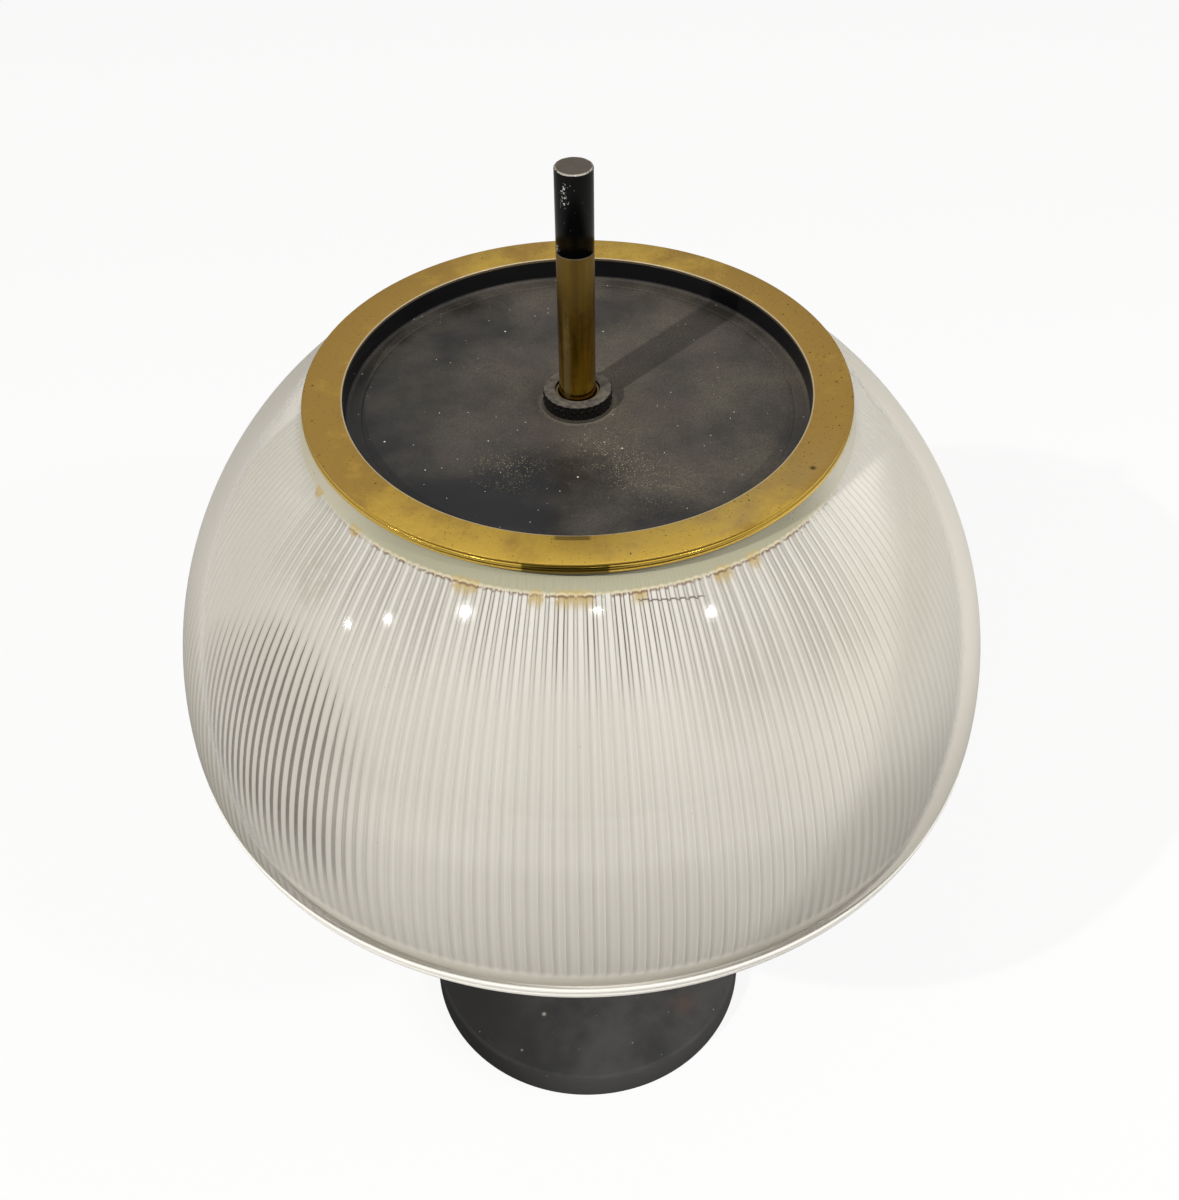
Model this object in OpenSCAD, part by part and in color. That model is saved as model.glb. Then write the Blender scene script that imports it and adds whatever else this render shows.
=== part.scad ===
// Table lamp with a ribbed pressed-glass dome on a slim stem.
// The stem ends above the dome in a carrying handle. A knurled nut on a threaded bush
// holds the dished cover and its brass ring down on the glass.
// The origin is the centre of the underside, +Z is up, and sizes are in millimetres.

/* [Base] */
// Diameter of the base
base_d = 153; // [120:1:200]
// Height of the base above the table
base_h = 16; // [14:0.5:24]
// Rounding of the base's top edge
base_edge_r = 2.2; // [1:0.1:4]
// Thickness of the spun steel cover
base_wall = 1.5; // [1:0.1:2.5]
// Thickness of the felt pad
felt_t = 1.5; // [1:0.1:3]
// Hole in the cord bush for the mains lead
inlet_bore_d = 7.2; // [6:0.1:8]

/* [Stem] */
// Outer diameter of the stem, the spacer and the handle's rod
stem_d = 13; // [12.5:0.5:16]
// Diameter of the threaded tube that ties the lamp together
tube_d = 10; // [9:0.5:10.5]
// Bore of the threaded tube, which carries the wires
tube_bore_d = 7; // [5:0.5:8]
// Length of the stem between the base and the wiring cup
stem_len = 200; // [150:1:260]

/* [Lamp cluster] */
// Distance of a lampholder from the stem's axis
holder_ring_r = 36; // [35:0.5:44]
// Height of the wiring cup
cup_h = 14; // [13:0.5:20]
// Diameter of the wiring cup and its plate
cup_d = 104; // [100:1:120]
// Height of a lampholder
holder_h = 38; // [36:0.5:44]
// Diameter of a lampholder
holder_d = 27; // [24:0.5:30]
// Diameter of a bulb's glass
bulb_d = 45; // [35:0.5:48]
// Height of a bulb's glass above its holder
bulb_h = 56; // [50:0.5:60]

/* [Shade] */
// Outer diameter of the glass dome
shade_d = 320; // [300:1:340]
// Outer diameter of the glass at its top face
neck_d = 194.6; // [180:0.2:210]
// Height of the dome's centre above the plate of the lamp cluster
dome_centre_lift = 0; // [-6:0.5:6]
// Height of the dome below its centre
skirt_drop = 18; // [14:0.5:30]
// How far the lip is drawn in from the widest place
lip_draw_in = 3.2; // [1:0.1:6]
// Thickness of the glass between the ribs
glass_wall = 3.8; // [3:0.1:6]
// Depth of a rib
rib_depth = 1.3; // [0.6:0.1:1.5]
// Number of ribs round the glass
rib_count = 216; // [72:72:216]
// Height of each of the two beads on the lip
bead_h = 4; // [2.5:0.1:5]
// How far the beads stand out
bead_out = 0.8; // [0.3:0.1:1.5]

/* [Cover] */
// Depth of the dish below its flange
dish_depth = 8; // [6:0.5:12]
// Thickness of the dish's sheet metal
dish_wall = 1; // [0.8:0.1:1.5]
// Width of the brass ring's flat face
ring_face_w = 13.6; // [12:0.1:15]
// Thickness of the brass ring
ring_t = 1; // [0.8:0.1:1.5]
// Height of the brass ring's rolled edge
ring_edge_h = 3.7; // [3:0.1:3.7]
// Diameter of the knurled nut
nut_d = 25; // [22:0.5:32]
// Height of the knurled nut
nut_h = 5.5; // [4:0.1:9]
// Number of knurl grooves that slant each way round the nut
knurl_count = 36; // [24:1:40]

/* [Handle] */
// Height of the handle above the dish's floor
handle_h = 92.5; // [70:0.5:120]
// Length of the black grip at the handle's end
grip_len = 30.5; // [20:0.5:40]

/* [Hidden] */

$fn = 96;
eps = 0.01;               // overshoot of a cutter past a face
slip = 0.1;               // radial clearance round the threaded tube
screw_gap = 0.02;         // radial clearance of a screwed joint
soft_gap = 0.3;           // clearance between the glass and what it lies on
holder_count = 3;
holder_pitch = 120;       // angle between two lampholders
first_holder = 30;        // angle of the first one
first_arm = 90;           // angle of the carrier's first arm, between two bulbs

tube_r = tube_d / 2;
tube_bore_r = tube_bore_d / 2;
stem_r = stem_d / 2;
stem_bore_r = tube_r + slip;

// The base, from the felt upwards
base_r = base_d / 2;
cover_foot = felt_t / 2;
weight_top = base_h - base_wall;
weight_gap = 0.3;
felt_inset = 1;
nut_recess_r = 17;
nut_recess_h = 9;
recess_top = felt_t + nut_recess_h;
washer_t = 1.6;
washer_inset = 3;
nut_across = 17;
base_nut_h = 3.5;
base_nut_foot = recess_top - washer_t - base_nut_h;
tube_foot = base_nut_foot - 0.4;

// The cord bush in the base's back
inlet_z = (felt_t + weight_top) / 2;
inlet_r = inlet_bore_d / 2;
bush_sleeve_r = inlet_r + 1.7;
bush_sleeve_len = base_wall + 9;
bush_flange_r = bush_sleeve_r + 1.2;
bush_flange_t = 1.6;
cord_channel_r = inlet_r + 0.6;

// The wiring cup and its plate
cup_foot = base_h + stem_len;
cup_wall = 1.2;
cup_floor_r = 24;
plate_t = 2;
plate_foot = cup_foot + cup_h;
plate_top = plate_foot + plate_t;
cup_nut_h = 3.5;
lead_d = 3;
lead_bend_r = 4;
lead_z = (cup_foot + cup_wall + plate_foot) / 2;
bundle_r = tube_bore_r - 0.25;

// The lampholders and their bulbs
nipple_below = 5;
nipple_above = 6;
locknut_across = 14;
locknut_h = 3;
holder_cap_h = 14;
holder_joint_z = plate_top + holder_cap_h;
holder_top = plate_top + holder_h;
holder_r = holder_d / 2;
cap_foot_r = holder_r - 4;
cap_wall = 4.5;
cap_foot_bend = [2.4, 1.2];     // the rounding of the cap's foot, across and up
cap_skirt = [0.4, 6, 4];        // the cap's taper: its inset, its foot and its top below the joint
rib_inset = 0.8;
rib_rise = 5;
rib_pitch = 4;
rib_h = 1.6;
rib_rings = 4;
collar_h = 3;
socket_floor_t = 4;
shell_r = 7.6;
shell_t = 0.5;
shell_inset = 2;
contact_h = 5.5;
contact_r = 3.4;
contact_stem_r = 1.98;
contact_head_h = 1.5;
tip_gap = 0.1;
bulb_cap_r = 6.95;
bulb_tip_z = holder_joint_z + contact_h + tip_gap;
bulb_neck_r = bulb_cap_r + 0.4;
bulb_neck_h = 3;
bulb_wall = 1;
bulb_low_angle = 40;            // where the neck runs into the globe, from the globe's bottom
bulb_steps = 28;

// The dome and the cover on it
dome_r = shade_d / 2;
dome_inner_r = dome_r - glass_wall;
dome_z = plate_top + dome_centre_lift;
neck_r = neck_d / 2;
neck_rise = sqrt(pow(dome_r, 2) - pow(neck_r, 2));
glass_top = dome_z + neck_rise;
neck_inner_r = sqrt(pow(dome_inner_r, 2) - pow(neck_rise, 2));
lip_z = dome_z - skirt_drop;
gasket_t = 2;
gasket_inset = 0.6;
gasket_edge_gap = 1.5;
flange_foot = glass_top + gasket_t;
dish_top = flange_foot + dish_wall;
dish_floor = dish_top - dish_depth;
dish_corner_r = 1.6;
dish_hole_gap = 0.3;
dish_groove_r = 0.7;            // radius of the groove pressed round the dish's floor
dish_groove_depth = 0.3;
dish_groove_inset = 5.5;
ring_top = dish_top + ring_t;
ring_edge_t = 1;
ring_shoulder_r = 0.9;
ring_r = neck_r - 0.3;
dish_r = ring_r - ring_face_w;
flange_inset = 1;

// The nut and its washer
nut_washer_t = 0.7;
nut_foot = dish_floor + nut_washer_t;
nut_top = nut_foot + nut_h;
nut_r = nut_d / 2;
nut_chamfer = 0.5;
washer_out = 0.4;
knurl_depth = 0.45;
knurl_slope = 32;               // angle of a groove to the nut's axis
knurl_n = knurl_count * 2;      // corners round the rim, a peak and a hollow for each groove
knurl_h = nut_h - 2 * nut_chamfer;
knurl_rows = max(1, round(knurl_h * tan(knurl_slope) * knurl_n / (PI * nut_d)));

// The handle and the bush round its foot
handle_gap = 0.5;
clamp_wall = 1;
clamp_bore_r = stem_r + handle_gap;
clamp_r = clamp_bore_r + clamp_wall;
nut_bore_r = clamp_r + 0.06;
clamp_top = nut_top - 0.8;
handle_top = dish_floor + handle_h;
grip_foot = handle_top - grip_len;
grip_chamfer = 0.6;
tube_in_handle = 26;
blind_gap = 2;
stud_r = 4;
stud_half = 13;

// The carrier inside the dome
carrier_t = 3;
carrier_gap = 2;
carrier_top = dish_floor - dish_wall - carrier_gap;
carrier_foot = carrier_top - carrier_t;
carrier_edge_gap = 0.5;
carrier_r = sqrt(pow(dome_inner_r - rib_depth - carrier_edge_gap, 2)
    - pow(carrier_top - dome_z, 2));
carrier_ring_w = 12;
arm_w = 12;
hub_wall = 4;
hub_r = clamp_r + hub_wall;
hub_h = 11;
hub_floor_h = 5;
hub_foot = carrier_top - hub_h;
clamp_foot = hub_foot + hub_floor_h;
tube_top = clamp_foot + tube_in_handle;
seat_edge_h = 1.2;
seat_w = 7.4;
seat_r = sqrt(pow(dome_inner_r - soft_gap, 2) - pow(carrier_top + seat_edge_h - dome_z, 2));

// Ribs and the meshing of the glass. Angles are measured from the dome's pole
coarse_n = 72;                      // corners of a smooth ring of the glass
rib_n = rib_count * 2;              // corners of a ribbed ring, a crest and a valley each
rib_fan = rib_n / coarse_n;         // ribbed corners for each smooth one
rib_shoulder = 0.25;                // how far below the carrier's top the ribs begin
rib_start = acos((carrier_top - rib_shoulder - dome_z) / dome_inner_r);
rib_end = 90;                       // the ribs end at the widest place
rib_fade = 1.6;                     // angle over which a rib rises and falls
rib_bands = 6;                      // bands of faces along a rib
dome_bands = 9;                     // bands of faces over the outside of the dome
neck_angle = acos(neck_rise / dome_r);
skirt_b = skirt_drop / sqrt(1 - pow((dome_r - lip_draw_in) / dome_r, 2));
bead_top = lip_z + 2 * bead_h;
bead_edge = bead_h / 3;             // rounding of a bead's edge
lip_inset = glass_wall / 4;

function ring_point(r, z, i, n) = [r * cos(360 * i / n), r * sin(360 * i / n), z];
function smooth_ring(r, z) = [for (i = [0 : coarse_n - 1]) ring_point(r, z, i, coarse_n)];

// Radius of the dome's skirt, outside or inside, at a height below the widest place
function skirt_radius(sphere_r, z) = sphere_r * sqrt(1 - pow((z - dome_z) / skirt_b, 2));

// One ring of the ribbed inside, at an angle from the pole: a crest stands in by its height
function ribbed_ring(angle, crest) = [for (i = [0 : rib_n - 1])
    let (r = dome_inner_r - (i % 2 == 0 ? crest : 0))
    ring_point(r * sin(angle), dome_z + r * cos(angle), i, rib_n)];

// Faces between two rings of n corners whose first corners are a and b
function band(a, b, n) = [for (i = [0 : n - 1])
    let (j = (i + 1) % n) each [[a + i, a + j, b + j], [a + i, b + j, b + i]]];

// Faces from a smooth ring at a to a ribbed one at b, with rib_fan fine corners to a coarse one
function fan_out(a, b) = [for (i = [0 : coarse_n - 1])
    let (j = (i + 1) % coarse_n, half = rib_fan / 2, fine = b + i * rib_fan)
    each concat(
        [for (k = [0 : half - 1]) [a + i, fine + k + 1, fine + k]],
        [[a + i, a + j, fine + half]],
        [for (k = [half : rib_fan - 1])
            [a + j, b + (i * rib_fan + k + 1) % rib_n, fine + k]])];

function flip(faces) = [for (f = faces) [f[2], f[1], f[0]]];

// The outside of a bead, as [radius, height] from its top down
function bead(top) = [
    [skirt_radius(dome_r, top), top],
    [skirt_radius(dome_r, top) + bead_out, top - bead_edge],
    [skirt_radius(dome_r, top - bead_h) + bead_out, top - bead_h + bead_edge]];

// The glass's smooth skin, as [radius, height] from the top face down, round the lip and up
smooth_profile = concat(
    [[neck_inner_r, glass_top]],
    [for (k = [0 : dome_bands]) let (a = neck_angle + (90 - neck_angle) * k / dome_bands)
        [dome_r * sin(a), dome_z + dome_r * cos(a)]],
    bead(bead_top),
    bead(bead_top - bead_h),
    [[skirt_radius(dome_r, lip_z) - lip_inset, lip_z],
     [skirt_radius(dome_inner_r, lip_z) + lip_inset, lip_z],
     [skirt_radius(dome_inner_r, lip_z), lip_z + bead_edge],
     [skirt_radius(dome_inner_r, bead_top), bead_top]]);

module glass_shade() {
    smooth_n = len(smooth_profile);
    rib_angles = concat([rib_end], [for (k = [0 : rib_bands])
        rib_end - rib_fade - (rib_end - rib_start - 2 * rib_fade) * k / rib_bands], [rib_start]);
    crests = concat([0], [for (k = [0 : rib_bands]) rib_depth], [0]);
    ribbed_rings = len(rib_angles);
    points = concat(
        [for (p = smooth_profile) each smooth_ring(p[0], p[1])],
        [for (k = [0 : ribbed_rings - 1]) each ribbed_ring(rib_angles[k], crests[k])]);
    first_rib = smooth_n * coarse_n;
    last_rib = first_rib + (ribbed_rings - 1) * rib_n;
    faces = concat(
        [for (k = [0 : smooth_n - 2]) each band(k * coarse_n, (k + 1) * coarse_n, coarse_n)],
        fan_out((smooth_n - 1) * coarse_n, first_rib),
        [for (k = [0 : ribbed_rings - 2])
            each band(first_rib + k * rib_n, first_rib + (k + 1) * rib_n, rib_n)],
        flip(fan_out(0, last_rib)));
    color("whitesmoke") polyhedron(points = points, faces = faces, convexity = 4);
}

// A plain washer, tube or sleeve between two heights
module sleeve(outer_r, inner_r, foot, top) {
    translate([0, 0, foot]) difference() {
        cylinder(r = outer_r, h = top - foot);
        translate([0, 0, -eps]) cylinder(r = inner_r, h = top - foot + 2 * eps);
    }
}

module hex_nut(across, inner_r, foot, height) {
    translate([0, 0, foot]) difference() {
        cylinder(r = across / 2 / cos(30), h = height, $fn = 6);
        translate([0, 0, -eps]) cylinder(r = inner_r, h = height + 2 * eps);
    }
}

// A hole along Z through whatever lies between two heights
module hole(r, foot, top) {
    translate([0, 0, foot - eps]) cylinder(r = r, h = top - foot + 2 * eps);
}

module at_holder(i) {
    rotate([0, 0, first_holder + holder_pitch * (i - 1)])
        translate([holder_ring_r, 0, 0]) children();
}

module felt_pad() {
    color("darkolivegreen") cylinder(r = base_r - base_wall - felt_inset, h = felt_t);
}

module base_cover() {
    side_top = base_h - base_edge_r;
    inner_r = base_r - base_wall;
    color("#2b2b2c") difference() {
        rotate_extrude() {
            translate([0, cover_foot]) square([base_r, side_top - cover_foot]);
            translate([0, side_top - eps]) square([base_r - base_edge_r, base_edge_r + eps]);
            translate([base_r - base_edge_r, side_top]) circle(r = base_edge_r);
        }
        hole(inner_r, 0, weight_top - base_edge_r);
        hole(inner_r - base_edge_r, 0, weight_top - eps);
        hole(stem_bore_r, 0, base_h);
        translate([0, 0, inlet_z]) rotate([-90, 0, 0])
            cylinder(r = bush_sleeve_r + slip, h = base_r + 1);
    }
}

module base_weight() {
    weight_r = base_r - base_wall - weight_gap;
    color("#4a4643") difference() {
        union() {
            translate([0, 0, felt_t])
                cylinder(r = weight_r, h = weight_top - base_edge_r - weight_gap - felt_t);
            translate([0, 0, felt_t])
                cylinder(r = weight_r - base_edge_r, h = weight_top - felt_t);
        }
        hole(stem_bore_r, felt_t, weight_top);
        translate([0, 0, -eps]) hole(nut_recess_r, felt_t, recess_top);
        translate([0, nut_recess_r - washer_inset, inlet_z]) rotate([-90, 0, 0])
            cylinder(r = cord_channel_r, h = base_r);
        translate([0, base_r - bush_sleeve_len - slip, inlet_z]) rotate([-90, 0, 0])
            cylinder(r = bush_sleeve_r + slip, h = base_r);
    }
}

module cord_bush() {
    bush_len = bush_sleeve_len + bush_flange_t;
    color("#1c1c1c") translate([0, base_r - bush_sleeve_len, inlet_z]) rotate([-90, 0, 0])
        difference() {
            union() {
                cylinder(r = bush_sleeve_r, h = bush_len);
                translate([0, 0, bush_sleeve_len]) cylinder(r = bush_flange_r, h = bush_flange_t);
            }
            hole(inlet_r, 0, bush_len);
        }
}

module base_washer() {
    color("silver")
        sleeve(nut_recess_r - washer_inset, stem_bore_r, recess_top - washer_t, recess_top);
}

module base_nut() {
    color("silver") hex_nut(nut_across, tube_r + screw_gap, base_nut_foot, base_nut_h);
}

module threaded_tube() {
    color("silver") difference() {
        sleeve(tube_r, tube_bore_r, tube_foot, tube_top);
        for (i = [1 : holder_count]) rotate([0, 0, first_holder + holder_pitch * (i - 1)])
            translate([0, 0, lead_z]) rotate([0, 90, 0])
                cylinder(r = lead_d / 2 + 2 * slip, h = tube_d);
    }
}

module stem_tube() {
    color("#a8842c") sleeve(stem_r, stem_bore_r, base_h, cup_foot);
}

// Half profile of the cup's bowl, a quarter ellipse from the floor out to the rim
module bowl_half(floor_r, rim_r, foot, top) {
    steps = 16;
    polygon(concat([[0, top], [0, foot]], [for (k = [0 : steps]) let (a = 90 * k / steps)
        [floor_r + (rim_r - floor_r) * sin(a), top - (top - foot) * cos(a)]]));
}

module wiring_cup() {
    cup_r = cup_d / 2;
    color("#232324") difference() {
        rotate_extrude() bowl_half(cup_floor_r, cup_r, cup_foot, plate_foot);
        rotate_extrude()
            bowl_half(cup_floor_r, cup_r - cup_wall, cup_foot + cup_wall, plate_foot + eps);
        hole(stem_bore_r, cup_foot, plate_foot);
    }
}

module cup_nuts() {
    color("silver") {
        hex_nut(nut_across, tube_r + screw_gap, cup_foot + cup_wall, cup_nut_h);
        hex_nut(nut_across, tube_r + screw_gap, plate_foot - cup_nut_h, cup_nut_h);
    }
}

module lamp_plate() {
    color("#232324") difference() {
        translate([0, 0, plate_foot]) cylinder(r = cup_d / 2, h = plate_t);
        hole(stem_bore_r, plate_foot, plate_top);
        for (i = [1 : holder_count]) at_holder(i) hole(stem_bore_r, plate_foot, plate_top);
    }
}

module holder_nipples() {
    color("#b8963c") for (i = [1 : holder_count]) at_holder(i)
        sleeve(tube_r, tube_bore_r, plate_foot - nipple_below, plate_top + nipple_above);
}

module holder_locknuts() {
    color("silver") for (i = [1 : holder_count]) at_holder(i)
        hex_nut(locknut_across, tube_r + screw_gap, plate_foot - locknut_h, locknut_h);
}

// Each holder's lead leaves the bundle through the tube, runs out and turns up its nipple
module holder_leads() {
    color("ivory") for (i = [1 : holder_count])
        rotate([0, 0, first_holder + holder_pitch * (i - 1)]) {
            translate([bundle_r, 0, lead_z]) rotate([0, 90, 0])
                cylinder(r = lead_d / 2, h = holder_ring_r - lead_bend_r - bundle_r);
            translate([holder_ring_r - lead_bend_r, 0, lead_z + lead_bend_r])
                rotate([90, 0, 0]) rotate([0, 0, -90]) rotate_extrude(angle = 90)
                    translate([lead_bend_r, 0]) circle(r = lead_d / 2, $fn = 24);
            translate([holder_ring_r, 0, lead_z + lead_bend_r])
                cylinder(r = lead_d / 2, h = holder_joint_z - lead_z - lead_bend_r);
        }
}

module lead_bundle() {
    color("ivory") translate([0, 0, tube_foot])
        cylinder(r = bundle_r, h = lead_z + lead_d / 2 - tube_foot);
}

module holder_cap(i) {
    color("#1b1a19") at_holder(i) difference() {
        rotate_extrude() polygon([[0, plate_top], [cap_foot_r, plate_top],
            [cap_foot_r + cap_foot_bend[0], plate_top + cap_foot_bend[1]],
            [holder_r - cap_skirt[0], holder_joint_z - cap_skirt[1]],
            [holder_r, holder_joint_z - cap_skirt[2]],
            [holder_r, holder_joint_z], [0, holder_joint_z]]);
        hole(stem_bore_r, plate_top, holder_joint_z);
        hole(holder_r - cap_wall, plate_top + nipple_above, holder_joint_z);
    }
}

module holder_body(i) {
    color("#1b1a19") at_holder(i) difference() {
        union() {
            translate([0, 0, holder_joint_z])
                cylinder(r = holder_r - rib_inset, h = holder_top - holder_joint_z);
            translate([0, 0, holder_joint_z]) cylinder(r = holder_r, h = collar_h);
            for (k = [0 : rib_rings - 1])
                translate([0, 0, holder_joint_z + rib_rise + rib_pitch * k])
                    cylinder(r = holder_r, h = rib_h);
        }
        hole(shell_r + screw_gap, holder_joint_z + socket_floor_t + eps, holder_top);
        hole(contact_stem_r + screw_gap, holder_joint_z, holder_top);
    }
}

module holder_shell(i) {
    color("#b8963c") at_holder(i) sleeve(shell_r, shell_r - shell_t,
        holder_joint_z + socket_floor_t, holder_top - shell_inset);
}

module holder_contact(i) {
    color("#b8963c") at_holder(i) translate([0, 0, holder_joint_z]) {
        cylinder(r = contact_stem_r, h = contact_h - contact_head_h);
        translate([0, 0, contact_h - contact_head_h]) cylinder(r = contact_r, h = contact_head_h);
    }
}

// The screwed cap narrows through a glass bead to the contact at its tip
module bulb_cap(i) {
    color("#c9c2b2") at_holder(i) rotate_extrude() polygon([[0, bulb_tip_z],
        [bulb_cap_r * 0.32, bulb_tip_z], [bulb_cap_r * 0.38, bulb_tip_z + 0.8],
        [bulb_cap_r * 0.83, bulb_tip_z + 3.2], [bulb_cap_r, bulb_tip_z + 4.2],
        [bulb_cap_r, holder_top], [0, holder_top]]);
}

// Half profile of a bulb: a neck that swells into a globe, drawn in all round by wall
module bulb_half(wall) {
    globe_r = bulb_d / 2;
    globe_z = holder_top + bulb_h - globe_r;
    neck_foot = holder_top - (wall > 0 ? 1 : 0);
    polygon(concat(
        [[0, neck_foot], [bulb_neck_r - wall, neck_foot],
         [bulb_neck_r - wall, holder_top + bulb_neck_h]],
        [for (k = [0 : bulb_steps])
            let (a = bulb_low_angle + (180 - bulb_low_angle) * k / bulb_steps)
            [(globe_r - wall) * sin(a), globe_z - (globe_r - wall) * cos(a)]]));
}

module bulb_glass(i) {
    color("white") at_holder(i) rotate_extrude() difference() {
        bulb_half(0);
        bulb_half(bulb_wall);
    }
}

module spacer_tube() {
    color("#a8842c") sleeve(stem_r, stem_bore_r, plate_top, hub_foot);
}

// Hub, three arms and the ring on which the glass hangs
module shade_carrier() {
    ring_inner_r = carrier_r - carrier_ring_w;
    color("#2a2725") difference() {
        union() {
            translate([0, 0, hub_foot]) cylinder(r = hub_r, h = hub_h);
            sleeve(carrier_r, ring_inner_r, carrier_foot, carrier_top);
            for (i = [0 : 2]) rotate([0, 0, first_arm + 120 * i])
                translate([0, -arm_w / 2, carrier_foot])
                    cube([ring_inner_r + 1, arm_w, carrier_t]);
        }
        hole(stem_bore_r, hub_foot, clamp_foot);
        hole(clamp_r, clamp_foot + eps, carrier_top);
    }
}

// Soft ring whose sloping top follows the inside of the glass
module shade_seat() {
    inner_r = seat_r - seat_w;
    inner_top = dome_z + sqrt(pow(dome_inner_r - soft_gap, 2) - pow(inner_r, 2));
    color("dimgray") rotate_extrude() polygon([[inner_r, carrier_top], [seat_r, carrier_top],
        [seat_r, carrier_top + seat_edge_h], [inner_r, inner_top]]);
}

module clamp_bush() {
    color("#8f7a3a") sleeve(clamp_r, clamp_bore_r, clamp_foot, clamp_top);
}

module rim_gasket() {
    color("dimgray") sleeve(ring_r - gasket_edge_gap, neck_inner_r + gasket_inset,
        glass_top + soft_gap, flange_foot);
}

// A pressed dish: its floor turns up into the wall and out into the flange
module cover_dish() {
    floor_foot = dish_floor - dish_wall;
    bend_z = dish_floor + dish_corner_r;
    color("#262524") difference() {
        rotate_extrude() difference() {
            union() {
                translate([0, floor_foot]) square([dish_r - dish_corner_r, dish_wall]);
                translate([dish_r - dish_corner_r, bend_z]) circle(r = dish_corner_r + dish_wall);
                translate([dish_r, bend_z]) square([dish_wall, dish_top - bend_z]);
                translate([dish_r, flange_foot]) square([ring_face_w - flange_inset, dish_wall]);
            }
            translate([dish_r - dish_corner_r, bend_z]) circle(r = dish_corner_r);
            translate([0, bend_z]) square([dish_r, dish_depth]);
            translate([0, dish_floor]) square([dish_r - dish_corner_r, dish_depth]);
            translate([dish_r - dish_groove_inset, dish_floor + dish_groove_r - dish_groove_depth])
                circle(r = dish_groove_r);
        }
        hole(clamp_r + dish_hole_gap, floor_foot, dish_floor);
    }
}

// Pressed brass: a flat face with a rounded shoulder and a rolled edge
module brass_ring() {
    outer_r = ring_r + ring_edge_t;
    edge_foot = ring_top - ring_edge_h;
    color("#b8932f") rotate_extrude() difference() {
        union() {
            translate([dish_r, dish_top]) square([outer_r - ring_shoulder_r - dish_r, ring_t]);
            translate([ring_r, edge_foot]) square([ring_edge_t, ring_edge_h - ring_shoulder_r]);
            translate([outer_r - ring_shoulder_r, ring_top - ring_shoulder_r])
                circle(r = ring_shoulder_r);
        }
        translate([dish_r - 1, edge_foot - 1])
            square([ring_face_w + 1, dish_top - edge_foot + 1]);
    }
}

module nut_washer() {
    color("#8d8676") sleeve(nut_r + washer_out, clamp_r + 2 * slip, dish_floor, nut_foot);
}

// Corners of one row of the diamond knurl: peaks and hollows take turns round the rim, and the
// next row has them the other way round, so that each peak stands between four hollows
function knurl_row(k) = [for (i = [0 : knurl_n - 1])
    ring_point(nut_r - ((i + k) % 2 == 0 ? 0 : knurl_depth),
        nut_foot + nut_chamfer + knurl_h * k / knurl_rows, i, knurl_n)];

// Faces between the rows, each four corners split along the groove that joins their hollows
function knurl_faces(k) = [for (i = [0 : knurl_n - 1])
    let (j = (i + 1) % knurl_n, low = knurl_n * (k + 1), high = low + knurl_n)
    each (i + k) % 2 == 0
        ? [[low + i, high + i, low + j], [high + j, low + j, high + i]]
        : [[low + i, high + i, high + j], [low + i, high + j, low + j]]];

module knurled_nut() {
    face_r = nut_r - nut_chamfer;
    face_n = knurl_n - 1;
    rows = concat([for (i = [0 : face_n]) ring_point(face_r, nut_foot, i, knurl_n)],
        [for (k = [0 : knurl_rows]) each knurl_row(k)],
        [for (i = [0 : face_n]) ring_point(face_r, nut_top, i, knurl_n)]);
    last = knurl_n * (knurl_rows + 1);
    color("#1f1e1e") difference() {
        polyhedron(rows, concat(
            [[for (i = [0 : face_n]) i]],
            band(knurl_n, 0, knurl_n),
            [for (k = [0 : knurl_rows - 1]) each knurl_faces(k)],
            band(last + knurl_n, last, knurl_n),
            [[for (i = [0 : face_n]) last + 2 * knurl_n - 1 - i]]));
        hole(nut_bore_r, nut_foot, nut_top);
    }
}

// The rod is drilled from below for the tube and from above for the grip's stud
module handle_rod() {
    color("#8a6a1f") difference() {
        translate([0, 0, clamp_foot]) cylinder(r = stem_r, h = grip_foot - clamp_foot);
        hole(stem_bore_r, clamp_foot, tube_top + blind_gap);
        hole(stud_r + screw_gap, grip_foot - stud_half - blind_gap, grip_foot);
    }
}

module grip_stud() {
    color("silver") translate([0, 0, grip_foot - stud_half])
        cylinder(r = stud_r, h = 2 * stud_half);
}

module handle_grip() {
    color("#141414") difference() {
        translate([0, 0, grip_foot]) rotate_extrude() polygon([[0, 0], [stem_r, 0],
            [stem_r, grip_len - grip_chamfer], [stem_r - grip_chamfer, grip_len], [0, grip_len]]);
        hole(stud_r + screw_gap, grip_foot, grip_foot + stud_half + blind_gap);
    }
}

felt_pad();
base_cover();
base_weight();
cord_bush();
base_washer();
base_nut();
threaded_tube();
stem_tube();
wiring_cup();
cup_nuts();
lamp_plate();
holder_nipples();
holder_locknuts();
holder_leads();
lead_bundle();
spacer_tube();
for (i = [1 : holder_count]) {
    holder_cap(i);
    holder_body(i);
    holder_shell(i);
    holder_contact(i);
    bulb_cap(i);
    bulb_glass(i);
}
shade_carrier();
shade_seat();
clamp_bush();
glass_shade();
rim_gasket();
cover_dish();
brass_ring();
nut_washer();
knurled_nut();
handle_rod();
grip_stud();
handle_grip();
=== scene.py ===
import math

import bmesh
import bpy
from mathutils import Matrix, Vector


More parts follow.
